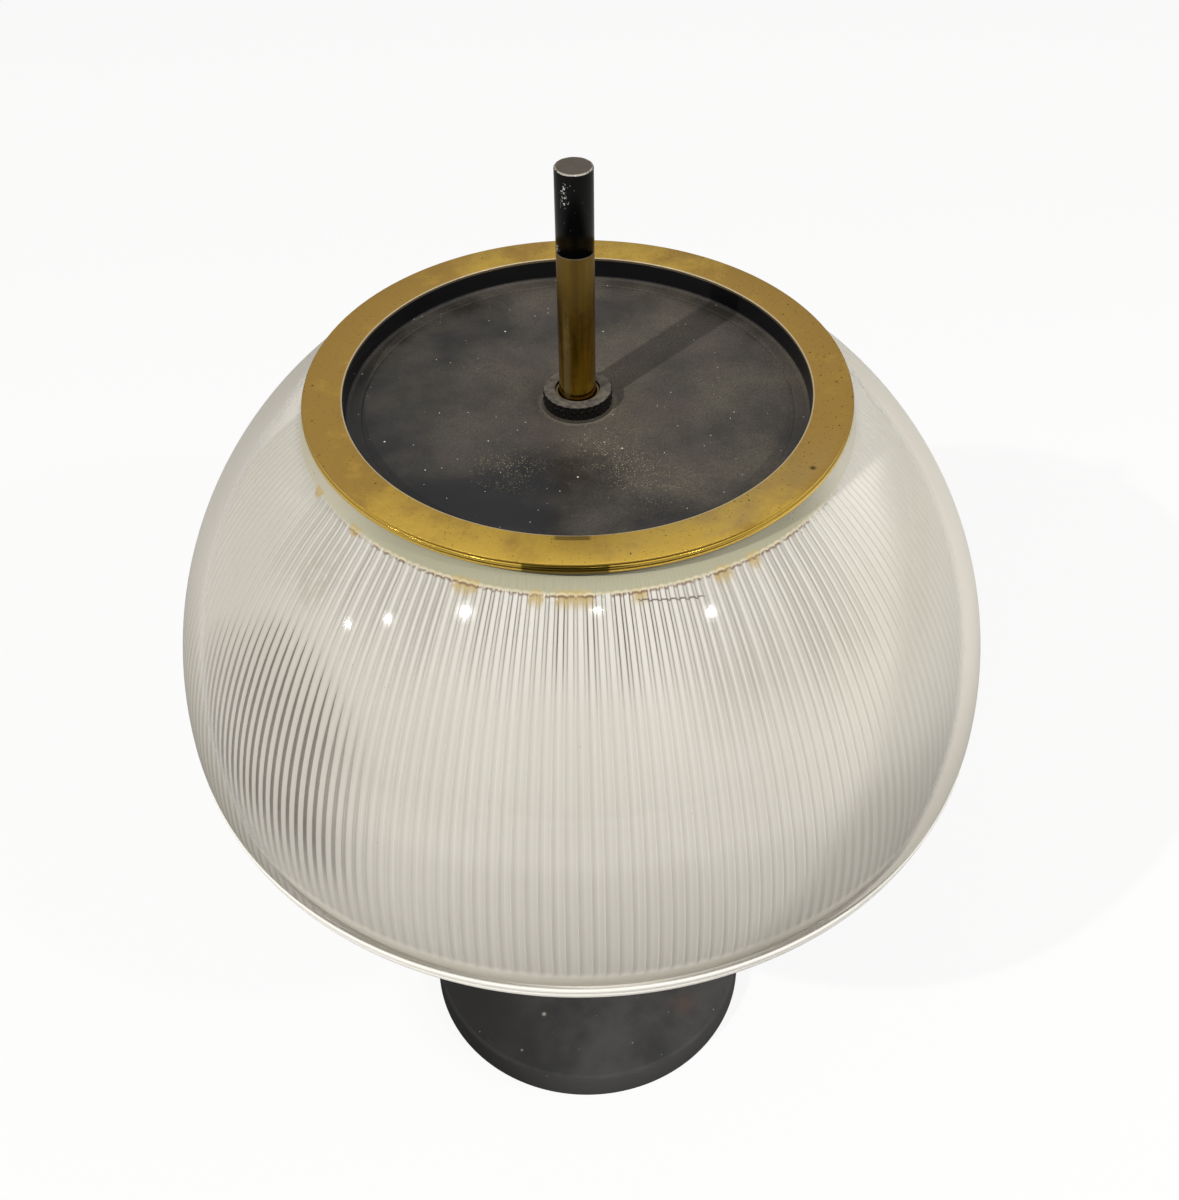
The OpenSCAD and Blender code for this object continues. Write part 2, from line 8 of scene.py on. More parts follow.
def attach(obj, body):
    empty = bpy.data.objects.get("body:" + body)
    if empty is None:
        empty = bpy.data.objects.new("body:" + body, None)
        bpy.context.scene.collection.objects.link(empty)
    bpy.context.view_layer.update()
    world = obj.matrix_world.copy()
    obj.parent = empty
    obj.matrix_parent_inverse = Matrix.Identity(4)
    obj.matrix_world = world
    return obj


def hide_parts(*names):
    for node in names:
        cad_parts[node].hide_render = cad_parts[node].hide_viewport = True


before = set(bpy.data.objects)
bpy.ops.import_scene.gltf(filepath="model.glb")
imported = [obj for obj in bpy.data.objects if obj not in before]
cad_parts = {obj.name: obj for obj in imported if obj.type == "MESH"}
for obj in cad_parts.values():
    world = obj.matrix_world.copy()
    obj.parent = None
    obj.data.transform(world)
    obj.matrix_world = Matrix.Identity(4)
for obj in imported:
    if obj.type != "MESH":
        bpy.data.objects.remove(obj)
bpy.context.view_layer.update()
MM = 0.001

# The viewpoint: a camera held some two thirds of a metre above the table, close in front of the
# lamp and looking down on it. Its place and tilt come from the ellipses of the lamp's level rims.
eye = Vector((0.00161, -0.4542, 0.6850))
turn_right, look_down, lean = (math.radians(a) for a in (0.211, 43.374, -0.747))
view_lens = bpy.data.cameras.new("viewpoint")
view_lens.lens = 46.449
viewpoint = bpy.data.objects.new("viewpoint", view_lens)
viewpoint.matrix_world = (
    Matrix.Translation(eye)
    @ Matrix.Rotation(-turn_right, 4, "Z")
    @ Matrix.Rotation(math.pi / 2 - look_down, 4, "X")
    @ Matrix.Rotation(lean, 4, "Z")
)
bpy.context.scene.collection.objects.link(viewpoint)
bpy.context.scene.camera = viewpoint
bpy.context.scene.view_settings.view_transform = "Standard"


# The studio: a pale room that is brighter overhead, with the viewer standing dark at the front. The
# main lamp at the front left throws the handle's shadow across the dish, a weak one and a soft fill
# stand on the right, and five small lamps with soft halos show as highlights in the glass.
class Wire:
    """What leaves a node. Arithmetic on it adds Math nodes to its board."""

    def __init__(self, board, made, out=0):
        self.board, self.made, self.socket = board, made, made.outputs[out]

    def part(self, out):
        """What leaves the same node by another socket."""
        return Wire(self.board, self.made, out)

    def __add__(self, other):
        return self.board.maths("ADD", self, other)

    def __sub__(self, other):
        return self.board.maths("SUBTRACT", self, other)

    def __rsub__(self, other):
        return self.board.maths("SUBTRACT", other, self)

    def __mul__(self, other):
        return self.board.maths("MULTIPLY", self, other)

    def __pow__(self, other):
        return self.board.maths("POWER", self, other)

    __radd__ = __add__


class Board:
    """The node board of a finish, or of the studio's air."""

    def __init__(self, tree):
        self.tree = tree

    def node(self, kind, settings=None, inputs=None, out=0):
        """Adds a node with its settings, feeds its inputs and returns one of its outputs."""
        made = self.tree.nodes.new(kind)
        for name, value in (settings or {}).items():
            if name == "stops":
                stops = made.color_ramp.elements
                while len(stops) < len(value):
                    stops.new(0.5)
                for stop, (place, colour) in zip(stops, value):
                    stop.position, stop.color = place, (*colour, 1)
            else:
                setattr(made, name, value)
        self.feed(made, inputs or {})
        return Wire(self, made, out)

    def feed(self, made, inputs):
        """Gives a node's inputs a wire or a plain value each."""
        for name, value in inputs.items():
            if isinstance(value, Wire):
                self.tree.links.new(value.socket, made.inputs[name])
            else:
                made.inputs[name].default_value = value

    def maths(self, operation, *values):
        """One Math node on wires or plain numbers."""
        return self.node("ShaderNodeMath", {"operation": operation}, dict(enumerate(values)))

    def mix(self, share, first, second):
        """A colour between first and second; a plain colour has three numbers."""
        pair = [c if isinstance(c, Wire) else (*c, 1) for c in (first, second)]
        return self.node("ShaderNodeMix", {"data_type": "RGBA"}, {0: share, 6: pair[0], 7: pair[1]}, 2)

    def ease(self, value, start, end):
        """0 at start, 1 at end and smooth between them."""
        return self.node("ShaderNodeMapRange", {"interpolation_type": "SMOOTHSTEP"},
                         {"Value": value, "From Min": start, "From Max": end})

    def band(self, value, start, full, last, end):
        """0 at start, 1 from full to last and 0 again at end."""
        return self.ease(value, start, full) * self.ease(value, end, last)


air = bpy.data.worlds.new("studio_air")
bpy.context.scene.world = air
air.use_nodes = True
sky = Board(air.node_tree)
air_out = air.node_tree.nodes["Background"]
aim = sky.node("ShaderNodeTexCoord")
aim_right = sky.node("ShaderNodeSeparateXYZ", {}, {"Vector": aim})
aim_back, aim_up = aim_right.part(1), aim_right.part(2)
sky_glow = sky.node("ShaderNodeValToRGB", {"stops": [
    (0.0, (0.11, 0.108, 0.105)), (0.45, (0.17, 0.167, 0.162)), (0.62, (0.31, 0.303, 0.293)),
    (1.0, (0.56, 0.547, 0.527))]}, {"Fac": aim_up * 0.5 + 0.5 + aim_right * 0.03})
mirrored = sky.node("ShaderNodeValToRGB", {"stops": [
    (0.0, (0.22, 0.22, 0.21)), (0.50, (0.29, 0.286, 0.28)), (0.68, (0.42, 0.413, 0.405)),
    (0.80, (0.57, 0.56, 0.55)), (0.88, (0.64, 0.63, 0.62)), (0.95, (1.0, 0.98, 0.96)),
    (1.0, (0.8, 0.79, 0.77))]}, {"Fac": aim_up * 0.5 + 0.5})
# The viewer's dark shape: a narrow one overhead that widens to the front
aside = sky.maths("ABSOLUTE", aim_right)
viewer = sky.ease(aside + aim_back * 0.33, 0.03, -0.03) * sky.ease(aim_up + aim_back * 1.7, 0.1, -0.1)
mirrored = sky.mix(viewer * 0.94, mirrored, (0.02, 0.02, 0.02))
seen_by = sky.node("ShaderNodeLightPath")
straight = sky.maths("MAXIMUM", seen_by, seen_by.part("Is Transmission Ray"))
glows = sky.mix(seen_by.part("Is Glossy Ray"), sky_glow, mirrored)
sky.feed(air_out, {"Color": sky.mix(straight, glows, (1, 1, 1)), "Strength": 1.0})

lamp_aim = Vector((0, 0, 0.30))
spot_glow, halo_glow, halo_size = 420, 110, 2.1
# name, place, radius of the lamp, watts, does it show in glass and metal
lamps = [("main_lamp", (-1.05, -1.11, 1.70), 0.018, 36.0, False),
         ("right_lamp", (1.17, -1.09, 1.67), 0.045, 10.0, False),
         ("right_fill", (1.30, -0.20, 1.00), 0.45, 9.5, False)]
for spot_name, place, spot_r in (
    ("far_left_spot", (-1.881, -0.573, 1.050), 0.030), ("left_spot", (-1.643, -0.802, 1.344), 0.034),
    ("near_left_spot", (-1.052, -1.111, 1.747), 0.050), ("over_spot", (0.149, -1.293, 1.955), 0.038),
    ("right_spot", (1.168, -1.089, 1.673), 0.042),
):
    lamps += [(spot_name, place, spot_r, spot_glow * spot_r ** 2, True),
              (spot_name + "_halo", place, spot_r * halo_size, halo_glow * spot_r ** 2, True)]
for lamp_name, place, lamp_r, watts, shows in lamps:
    lamp_light = bpy.data.lights.new(lamp_name, "AREA")
    lamp_light.shape, lamp_light.size = "DISK", 2 * lamp_r
    lamp_light.energy = watts
    lamp_light.color = (1, 0.985, 0.96)
    lamp = bpy.data.objects.new(lamp_name, lamp_light)
    lamp.location = place
    lamp.rotation_euler = (lamp_aim - Vector(place)).to_track_quat("-Z", "Y").to_euler()
    lamp.visible_camera, lamp.visible_glossy = False, shows
    bpy.context.scene.collection.objects.link(lamp)


# The table: a plain white sheet that runs on past the frame. It takes the lamp's shadow, faint
# beneath the base and the dome, and looks dark at the front in glass and metal.
class Finish(Board):
    """A finish: a Principled surface whose patterns lie in the lamp's own space, in metres."""

    def __init__(self, name):
        self.material = bpy.data.materials.new(name)
        self.material.use_nodes = True
        super().__init__(self.material.node_tree)
        self.body = Wire(self, self.tree.nodes["Principled BSDF"])
        self.place = self.node("ShaderNodeTexCoord", out="Object")
        self.x = self.node("ShaderNodeSeparateXYZ", {}, {"Vector": self.place})
        self.y, self.z = self.x.part(1), self.x.part(2)

    def grain(self, size, detail=2.0, rough=0.5, where=None):
        """Noise from 0 to 1 whose patches are about size millimetres across."""
        return self.node("ShaderNodeTexNoise", {}, {"Vector": where or self.place,
                         "Scale": 1 / (size * MM), "Detail": detail, "Roughness": rough})

    def span(self, value, start, end):
        """What ease() gives, with start and end in millimetres."""
        return self.ease(value, start * MM, end * MM)

    def dots(self, spacing, share, size):
        """Round specks up to size mm across; a share of the cells, spacing mm wide, holds one."""
        cells = self.node("ShaderNodeTexVoronoi", {}, {"Vector": self.place,
                                                       "Scale": 1 / (spacing * MM)})
        chance = self.node("ShaderNodeSeparateColor", {}, {"Color": cells.part("Color")})
        reach = (0.35 + chance.part(1) * 0.65) * (size / 2 / spacing)
        return self.ease(cells, reach, reach * 0.6) * self.ease(chance, 1 - share, 1.02 - share)

    def stretched(self, x, y, z):
        """The place, with each axis taken that many times, for streaks and brushed lines."""
        return self.node("ShaderNodeVectorMath", {"operation": "MULTIPLY"},
                         {0: self.place, 1: (x, y, z)})

    def length(self, x, y):
        """The length of a line on plan that runs x to the right and y to the back."""
        return (x * x + y * y) ** 0.5

    def radius(self):
        """Distance from the lamp's axis."""
        return self.length(self.x, self.y)

    def near(self, x, y, reach):
        """1 at a spot on plan, easing to 0 at its reach, all in millimetres."""
        return self.span(self.length(self.x - x * MM, self.y - y * MM), reach, 0)

    def layers(self, tone, *over):
        """A colour with others laid over it in turn, each as (share, colour)."""
        for share, colour in over:
            tone = self.mix(share, tone, colour)
        return tone

    def shine(self, colour, roughness, height=None, depth=0.0, **more):
        """Feeds the surface, with bumps depth millimetres high. In more, _ stands for a blank."""
        inputs = {"Base Color": colour, "Roughness": roughness}
        if height:
            inputs["Normal"] = self.node("ShaderNodeBump", {},
                                         {"Height": height, "Distance": depth * MM})
        inputs.update({name.replace("_", " "): value for name, value in more.items()})
        self.feed(self.body.made, inputs)
        return self

    def blend(self, share, first, second):
        """A surface between two others."""
        return self.node("ShaderNodeMixShader", {}, {"Fac": share, 1: first, 2: second})

    def show(self, surface):
        """Shows a blended surface in place of the plain body."""
        self.feed(self.tree.nodes["Material Output"], {0: surface})


bpy.ops.object.select_all(action="DESELECT")
bpy.ops.mesh.primitive_plane_add(size=12)
table_top = bpy.context.object
table_top.name = table_top.data.name = "table_top"
sheet = Finish("white_sheet")
sheet_seen = sheet.node("ShaderNodeLightPath")
sheet.shine(sheet.mix(sheet_seen, (0.50, 0.495, 0.485), (0.86, 0.86, 0.855)), 0.9)
sheet_glow = sheet.node("ShaderNodeEmission", {}, {"Color": (1, 1, 1, 1), "Strength": 0.975})
sheet_dark = sheet.node("ShaderNodeEmission", {}, {"Color": (0.045, 0.044, 0.042, 1)})
dark_y, dark_reach, dark_core = 0.35, 0.80, 0.45
sheet_front = sheet_seen.part("Is Glossy Ray") * \
    sheet.ease(sheet.length(sheet.x, sheet.y + dark_y), dark_reach, dark_core) * 0.94
sheet_shade = sheet.blend(sheet_front, sheet.body, sheet_dark)
sheet.show(sheet.blend(sheet_seen * 0.90, sheet_shade, sheet_glow))
table_top.data.materials.append(sheet.material)


# The base: a spun steel cover over a cast iron weight, sprayed matt charcoal, with a felt pad
# glued under it. Dust lies on its top, and the paint is rubbed paler round its edge.
sharp_angle = math.radians(35)
same_place = 0.001 * MM
at_corner = 0.02 * MM


def close_up(reach=0.0):
    """Ends the editing of a part: joins corners within reach metres and turns its faces outwards."""
    bpy.ops.mesh.select_all(action="SELECT")
    if reach:
        bpy.ops.mesh.remove_doubles(threshold=reach)
    bpy.ops.mesh.normals_make_consistent(inside=False)
    bpy.ops.object.mode_set(mode="OBJECT")


def turned(name, outline, steps=64, edge=0.0):
    """A part turned on a lathe. Its outline goes round the cut half as (radius, height), or as
    (radius, height, rounding), in mm. Its sharp edges are eased by edge."""
    bpy.ops.object.select_all(action="DESELECT")
    bpy.ops.mesh.primitive_plane_add(size=MM)
    part = bpy.context.object
    part.name = part.data.name = name
    bpy.ops.object.mode_set(mode="EDIT")
    bpy.ops.mesh.select_all(action="SELECT")
    bpy.ops.mesh.merge(type="CENTER")
    solid = outline[0][0] == 0 and outline[-1][0] == 0
    corners = [Vector((c[0], 0, c[1])) * MM for c in outline + ([] if solid else outline[:1])]
    bpy.ops.transform.translate(value=corners[0])
    for here, there in zip(corners, corners[1:]):
        bpy.ops.mesh.extrude_region_move(TRANSFORM_OT_translate={"value": there - here})
    bpy.ops.mesh.select_all(action="SELECT")
    bpy.ops.mesh.remove_doubles(threshold=same_place)
    for radius, height, rounding in (c for c in outline if len(c) == 3):
        wire = bmesh.from_edit_mesh(part.data)
        corner = Vector((radius, 0, height)) * MM
        for v in wire.verts:
            v.select_set((v.co - corner).length < at_corner)
        wire.select_flush(False)
        bmesh.update_edit_mesh(part.data)
        bpy.ops.mesh.bevel(offset=rounding * MM, segments=5, affect="VERTICES")
    bpy.ops.mesh.select_all(action="SELECT")
    bpy.ops.mesh.spin(steps=steps, angle=2 * math.pi, center=(0, 0, 0), axis=(0, 0, 1))
    close_up(same_place)
    if edge:
        ease_edges(part, edge)
    bpy.ops.object.shade_smooth_by_angle(angle=sharp_angle)
    return part


def ease_edges(part, width, turns=3):
    """Rounds the sharp edges of a part by width millimetres."""
    easing = part.modifiers.new("eased_edges", "BEVEL")
    easing.width, easing.segments, easing.limit_method = width * MM, turns, "ANGLE"
    easing.angle_limit = sharp_angle
    bpy.context.view_layer.objects.active = part
    bpy.ops.object.modifier_apply(modifier="eased_edges")


def settle(part, finish, body, node):
    """Gives a part its finish, hangs it on the body it rides on and hides the node it stands for."""
    part.data.materials.append(finish.material)
    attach(part, body)
    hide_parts(node)


def coat(finish, *nodes):
    """Gives a finish to nodes whose own shape is right."""
    for name in nodes:
        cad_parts[name].material_slots[0].material = finish.material


def matt_charcoal(name, top, rim):
    """Matt paint on a disc: dusty on its top, at that height, and rubbed at its rim, that radius."""
    paint = Finish(name)
    patches = paint.grain(38, 5, 0.6)
    grit = paint.grain(0.5, 2)
    lies = paint.span(paint.z, top - 2.5, top - 0.3)
    flecks = (paint.dots(4.4, 0.25, 1.0) + paint.dots(9, 0.35, 2.4) * paint.grain(0.8, 2)
              + paint.near(-21.8, -41.3, 1.6) * 1.5 + paint.near(-32.3, -60.8, 1.0)) * lies
    film = paint.ease(paint.grain(20, 5, 0.65), 0.32, 0.72) * lies
    rubbed = paint.span(paint.radius(), rim - 2.4, rim - 0.8) * \
        paint.span(paint.z, top - 3, top - 0.6) * (0.3 + paint.grain(2.5, 5, 0.7) * 0.7)
    tone = paint.layers(
        paint.mix(patches, (0.019, 0.019, 0.020), (0.038, 0.038, 0.039)),
        (film * 0.34, (0.088, 0.085, 0.082)),
        # Painted light: the side is painted paler than the top
        ((1 - lies) * 0.5, (0.088, 0.087, 0.085)),
        # Painted shade: darker towards the left
        (paint.span(paint.x, 10, -60) * 0.85, (0.010, 0.010, 0.010)),
        (rubbed * 0.05, (0.13, 0.125, 0.115)),
        (paint.near(46.6, -36.4, 11) * film * 0.6, (0.085, 0.045, 0.032)),
        (flecks * 0.6, (0.30, 0.28, 0.24)))
    return paint.shine(tone, 0.50 + grit * 0.12 + film * 0.12, grit + flecks, 0.03,
                       Specular_IOR_Level=0.42)


base_r, base_top, base_skin = 76.5, 16.0, 1.5
base_foot, stem_hole = 0.75, 5.1
inlet_z, inlet_hole_r = 8.0, 5.3
base_cover = turned("base_shell", [
    (stem_hole, base_top - base_skin), (stem_hole, base_top), (base_r, base_top, 2.2),
    (base_r, base_foot), (base_r - base_skin, base_foot),
    (base_r - base_skin, base_top - base_skin, 0.7)], steps=192, edge=0.25)
bpy.ops.mesh.primitive_cylinder_add(vertices=64, radius=inlet_hole_r * MM, depth=20 * MM,
                                    location=(0, base_r * MM, inlet_z * MM),
                                    rotation=(math.pi / 2, 0, 0))
inlet_drill = bpy.context.object
drilled = base_cover.modifiers.new("inlet", "BOOLEAN")
drilled.operation, drilled.object = "DIFFERENCE", inlet_drill
bpy.context.view_layer.objects.active = base_cover
bpy.ops.object.modifier_apply(modifier="inlet")
bpy.data.objects.remove(inlet_drill)
settle(base_cover, matt_charcoal("charcoal_paint", base_top, base_r), "stand",
       "base_cover")

felt = Finish("green_felt")
fibres = felt.grain(0.35, 4, 0.75)
lint = felt.ease(felt.grain(3.2, 4, 0.7), 0.62, 0.72)
felt_tone = felt.mix(fibres, (0.055, 0.062, 0.036), (0.15, 0.158, 0.105))
felt.shine(felt.mix(lint * 0.3, felt_tone, (0.34, 0.33, 0.29)), 0.97, fibres, 0.35,
           Sheen_Weight=0.35)
coat(felt, "felt_pad")

casting = Finish("iron_casting")
pores = casting.grain(1.4, 5, 0.75)
casting.shine(casting.mix(casting.ease(casting.grain(16, 4, 0.6), 0.45, 0.7),
                          (0.075, 0.07, 0.067), (0.13, 0.075, 0.045)),
              0.72 + pores * 0.2, pores, 0.25, Metallic=0.55)
coat(casting, "base_weight")


# The cord's inlet: a black rubber bush pushed into the back of the base, with a flange outside.
# The tie tube with its washer and nuts, and the nipples with their locknuts, are zinc plated.
bush_len, flange_r, flange_t, inlet_r, sleeve_r = 12.1, 6.5, 1.6, 3.6, inlet_hole_r - 0.05
sleeve_len = bush_len - flange_t
cord_inlet = turned("inlet_bush", [
    (inlet_r, 0, 0.5), (sleeve_r, 0, 0.6), (sleeve_r, sleeve_len - 1.0, 0.3), (sleeve_r, sleeve_len),
    (flange_r, sleeve_len, 0.3), (flange_r, bush_len, 0.7), (inlet_r, bush_len, 0.8)])
cord_inlet.matrix_world = Matrix.Translation((0, (base_r + flange_t - bush_len) * MM,
                                              inlet_z * MM)) @ Matrix.Rotation(-math.pi / 2, 4, "X")
bpy.ops.object.transform_apply(location=True, rotation=True, scale=True)
rubber = Finish("black_rubber")
bloom = rubber.grain(2.2, 4, 0.6)
rubber.shine(rubber.mix(bloom, (0.012, 0.012, 0.012), (0.045, 0.044, 0.042)), 0.62 + bloom * 0.25,
             rubber.grain(0.3, 2), 0.02)
settle(cord_inlet, rubber, "stand", "cord_bush")

zinc = Finish("dull_zinc")
spangle = zinc.grain(1.6, 4, 0.65)
zinc.shine(zinc.mix(spangle, (0.33, 0.33, 0.31), (0.58, 0.57, 0.54)), 0.34 + spangle * 0.25,
           zinc.grain(0.25, 2, where=zinc.stretched(1, 1, 5)), 0.015, Metallic=1.0)
coat(zinc, "base_washer", "base_nut", "threaded_tube", "cup_nuts", "holder_nipples",
     "holder_locknuts", "grip_stud")


# The stem: a drawn brass tube between the base and the wiring cup, and a short spacer above the
# lampholders. Both have gone olive brown, in long streaks that run with the drawing.
def tarnished_brass(name, dull_below, bright_above):
    """Drawn brass tube, browner below one height and paler above another, in mm."""
    brass = Finish(name)
    streaks = brass.grain(1.5, 4, 0.6, brass.stretched(1, 1, 0.05))
    hairlines = brass.grain(0.22, 2, 0.5, brass.stretched(1, 1, 0.012))
    clouds = brass.grain(7, 5, 0.65)
    spots = brass.ease(brass.grain(1.1, 3, 0.7), 0.68, 0.76)
    tone = brass.layers(
        brass.mix(brass.ease(streaks, 0.3, 0.7), (0.20, 0.125, 0.030), (0.36, 0.235, 0.062)),
        (brass.ease(clouds, 0.48, 0.72) * 0.6, (0.135, 0.078, 0.026)),
        (brass.span(brass.z, dull_below, bright_above) * 0.45, (0.47, 0.33, 0.115)),
        (spots * 0.55, (0.07, 0.042, 0.018)))
    rough = 0.27 + streaks * 0.16 + brass.ease(clouds, 0.4, 0.75) * 0.22
    return brass.shine(tone, rough, hairlines + spots, 0.008, Metallic=1.0)


def tube(name, bore, outer, foot, top, steps=64, edge=0.3):
    """A plain tube; bore and outer are radii."""
    return turned(name, [(bore, foot), (outer, foot), (outer, top), (bore, top)], steps, edge)


stem_r, stem_bore, stem_top = 6.5, 5.1, 216.0
stem = tube("stem_pipe", stem_bore, stem_r, base_top, stem_top)
settle(stem, tarnished_brass("stem_tarnish", 60, 215), "stand", "stem_tube")
spacer_foot, spacer_top = 232.0, 340.0
spacer = tube("spacer_pipe", stem_bore, stem_r, spacer_foot, spacer_top)
settle(spacer, tarnished_brass("spacer_tarnish", 200, 330), "stand", "spacer_tube")


# The wiring cup and its plate: a spun bowl and a pressed disc, sprayed satin black together. The
# leads to the three lampholders lie in the bowl, in ivory sleeves.
def satin_black(name, fleck=0.35):
    """Sprayed satin black, with a fine orange peel and a little dust."""
    paint = Finish(name)
    peel = paint.grain(0.9, 2)
    patches = paint.grain(24, 4, 0.6)
    flecks = paint.ease(paint.grain(1.5, 3, 0.7), 0.71, 0.78)
    tone = paint.mix(patches, (0.017, 0.017, 0.018), (0.037, 0.036, 0.035))
    tone = paint.mix(flecks * fleck, tone, (0.22, 0.20, 0.17))
    return paint.shine(tone, 0.33 + patches * 0.16, peel, 0.02)


coat(satin_black("satin_black_paint"), "wiring_cup", "lamp_plate")

cloth = Finish("ivory_sleeve")
weave = cloth.grain(0.4, 2, 0.5, cloth.stretched(1, 1, 1.6))
cloth.shine(cloth.mix(weave, (0.52, 0.47, 0.36), (0.76, 0.71, 0.58)), 0.75 + weave * 0.15, weave, 0.08)
coat(cloth, "holder_leads", "lead_bundle")


# The three lampholders: a black phenolic cap screwed to a nipple in the plate, and a ringed body
# over it that holds the screwed brass shell and the spring contact.
holder_places = (30, 150, 270)
holder_ring = 36.0
holder_foot, holder_joint, holder_top, holder_r = 232.0, 246.0, 270.0, 13.5
phenolic = Finish("black_phenolic")
swirl = phenolic.grain(4.5, 5, 0.6)
phenolic.shine(phenolic.mix(swirl, (0.012, 0.010, 0.009), (0.034, 0.027, 0.022)),
               0.20 + swirl * 0.18, phenolic.grain(1.2, 2), 0.012, Coat_Weight=0.15)


def copied(part, name):
    """A copy of a part with a mesh of its own."""
    again = part.copy()
    again.data = part.data.copy()
    again.name = again.data.name = name
    bpy.context.scene.collection.objects.link(again)
    return again


def at_holders(part, finish, bodies, node):
    """Settles a part and two copies at the holders. Each has a number, a body and a node."""
    parts = [part] + [copied(part, f"{part.name[:-1]}{number}") for number in (2, 3)]
    for number, (again, angle, body) in enumerate(zip(parts, holder_places, bodies), 1):
        again.data.transform(Matrix.Rotation(math.radians(angle), 4, "Z")
                             @ Matrix.Translation((holder_ring * MM, 0, 0)))
        settle(again, finish, body, f"{node}_{number}")


nipple_r, foot_r, side_r, hollow_r, cap_skin = 5.0, 9.5, 13.1, 9.0, 4.5
cap_outline = [(nipple_r, holder_foot), (foot_r, holder_foot, 1.0), (side_r, holder_foot + 6, 1.2),
               (side_r, holder_joint - 4, 0.3), (holder_r, holder_joint - 3.4, 0.2),
               (holder_r, holder_joint, 0.3), (hollow_r, holder_joint),
               (hollow_r, holder_foot + cap_skin), (nipple_r, holder_foot + cap_skin)]
rings_foot, ring_pitch, ring_h, ring_count = holder_joint + 5, 4.0, 1.6, 4
groove_r, shell_r, contact_r = holder_r - 0.8, 7.62, 2.0
body_outline = [(shell_r, holder_joint + 4), (contact_r, holder_joint + 4), (contact_r, holder_joint),
                (holder_r, holder_joint, 0.3), (holder_r, holder_joint + 3, 0.5),
                (groove_r, holder_joint + 3)]
for ring in range(ring_count):
    foot = rings_foot + ring_pitch * ring
    body_outline += [(groove_r, foot), (holder_r, foot, 0.45), (holder_r, foot + ring_h, 0.45),
                     (groove_r, foot + ring_h)]
body_outline += [(groove_r, holder_top, 0.6), (shell_r, holder_top, 0.3)]
first_cap = turned("phenolic_cap_1", cap_outline)
first_body = turned("phenolic_body_1", body_outline)
on_stand = ["stand"] * 3
at_holders(first_cap, phenolic, on_stand, "holder_cap")
at_holders(first_body, phenolic, on_stand, "holder_body")

holder_brass = Finish("pressed_brass")
wash = holder_brass.grain(2.4, 4, 0.6)
holder_brass.shine(holder_brass.mix(wash, (0.40, 0.27, 0.09), (0.66, 0.47, 0.19)),
                   0.24 + wash * 0.2, holder_brass.grain(0.5, 2), 0.01, Metallic=1.0)
coat(holder_brass, *(f"holder_{kind}_{n}" for kind in ("shell", "contact") for n in (1, 2, 3)))


# The three bulbs: opal globes blown in one with their necks, each cemented into a screw cap of
# nickelled brass with a narrow contact at its foot.
bulb_r, globe_z = 22.5, 303.5
cap_r, cap_foot, thread_pitch, thread_depth = 6.95, 251.6, 2.8, 0.55
opal = Finish("opal_glass")
haze = opal.grain(14, 3)
opal.shine(opal.mix(haze, (0.83, 0.82, 0.78), (0.92, 0.91, 0.88)), 0.22 + haze * 0.08,
           opal.grain(6, 2), 0.02, Coat_Weight=0.4, Coat_Roughness=0.06)
nickel = Finish("nickelled_cap")
scuff = nickel.grain(1.8, 4, 0.65)
nickel.shine(nickel.mix(scuff, (0.44, 0.42, 0.38), (0.70, 0.68, 0.64)), 0.22 + scuff * 0.25,
             nickel.grain(0.6, 2), 0.01, Metallic=1.0)

neck_angle, globe_steps, neck_r, neck_h = 40, 26, cap_r + 0.4, 3
globe_outline = [(0, holder_top), (neck_r, holder_top), (neck_r, holder_top + neck_h)]
for k in range(globe_steps):
    turn = math.radians(neck_angle + (180 - neck_angle) * k / globe_steps)
    globe_outline.append((bulb_r * math.sin(turn), globe_z - bulb_r * math.cos(turn)))
globe_outline.append((0, globe_z + bulb_r))
screw_outline = [(0, cap_foot), (cap_r * 0.32, cap_foot), (cap_r * 0.38, cap_foot + 0.8),
                 (cap_r * 0.80, cap_foot + 3.2, 0.4)]
thread_foot, thread_top, thread_steps = cap_foot + 4.2, holder_top - 2.4, 28
for k in range(thread_steps + 1):
    height = thread_foot + (thread_top - thread_foot) * k / thread_steps
    wave = 0.5 - 0.5 * math.cos(2 * math.pi * (height - thread_foot) / thread_pitch)
    screw_outline.append((cap_r - thread_depth * wave, height))
screw_outline += [(cap_r, holder_top), (0, holder_top)]
first_globe = turned("opal_globe_1", globe_outline)
first_screw = turned("screw_cap_1", screw_outline, steps=48)
on_bulbs = [f"bulb_{n}" for n in (1, 2, 3)]
at_holders(first_globe, opal, on_bulbs, "bulb_glass")
at_holders(first_screw, nickel, on_bulbs, "bulb_cap")


# The carrier: a steel hub, three arms and a ring, welded and sprayed satin black. A dark grey soft
# ring on it takes the inside of the glass.
coat(satin_black("carrier_black_paint", 0.2), "shade_carrier")
soft_ring = Finish("soft_grey_ring")
crumb = soft_ring.grain(0.8, 4, 0.7)
soft_ring.shine(soft_ring.mix(crumb, (0.06, 0.06, 0.057), (0.13, 0.128, 0.12)),
                0.85 + crumb * 0.1, crumb, 0.12)
coat(soft_ring, "shade_seat", "rim_gasket")


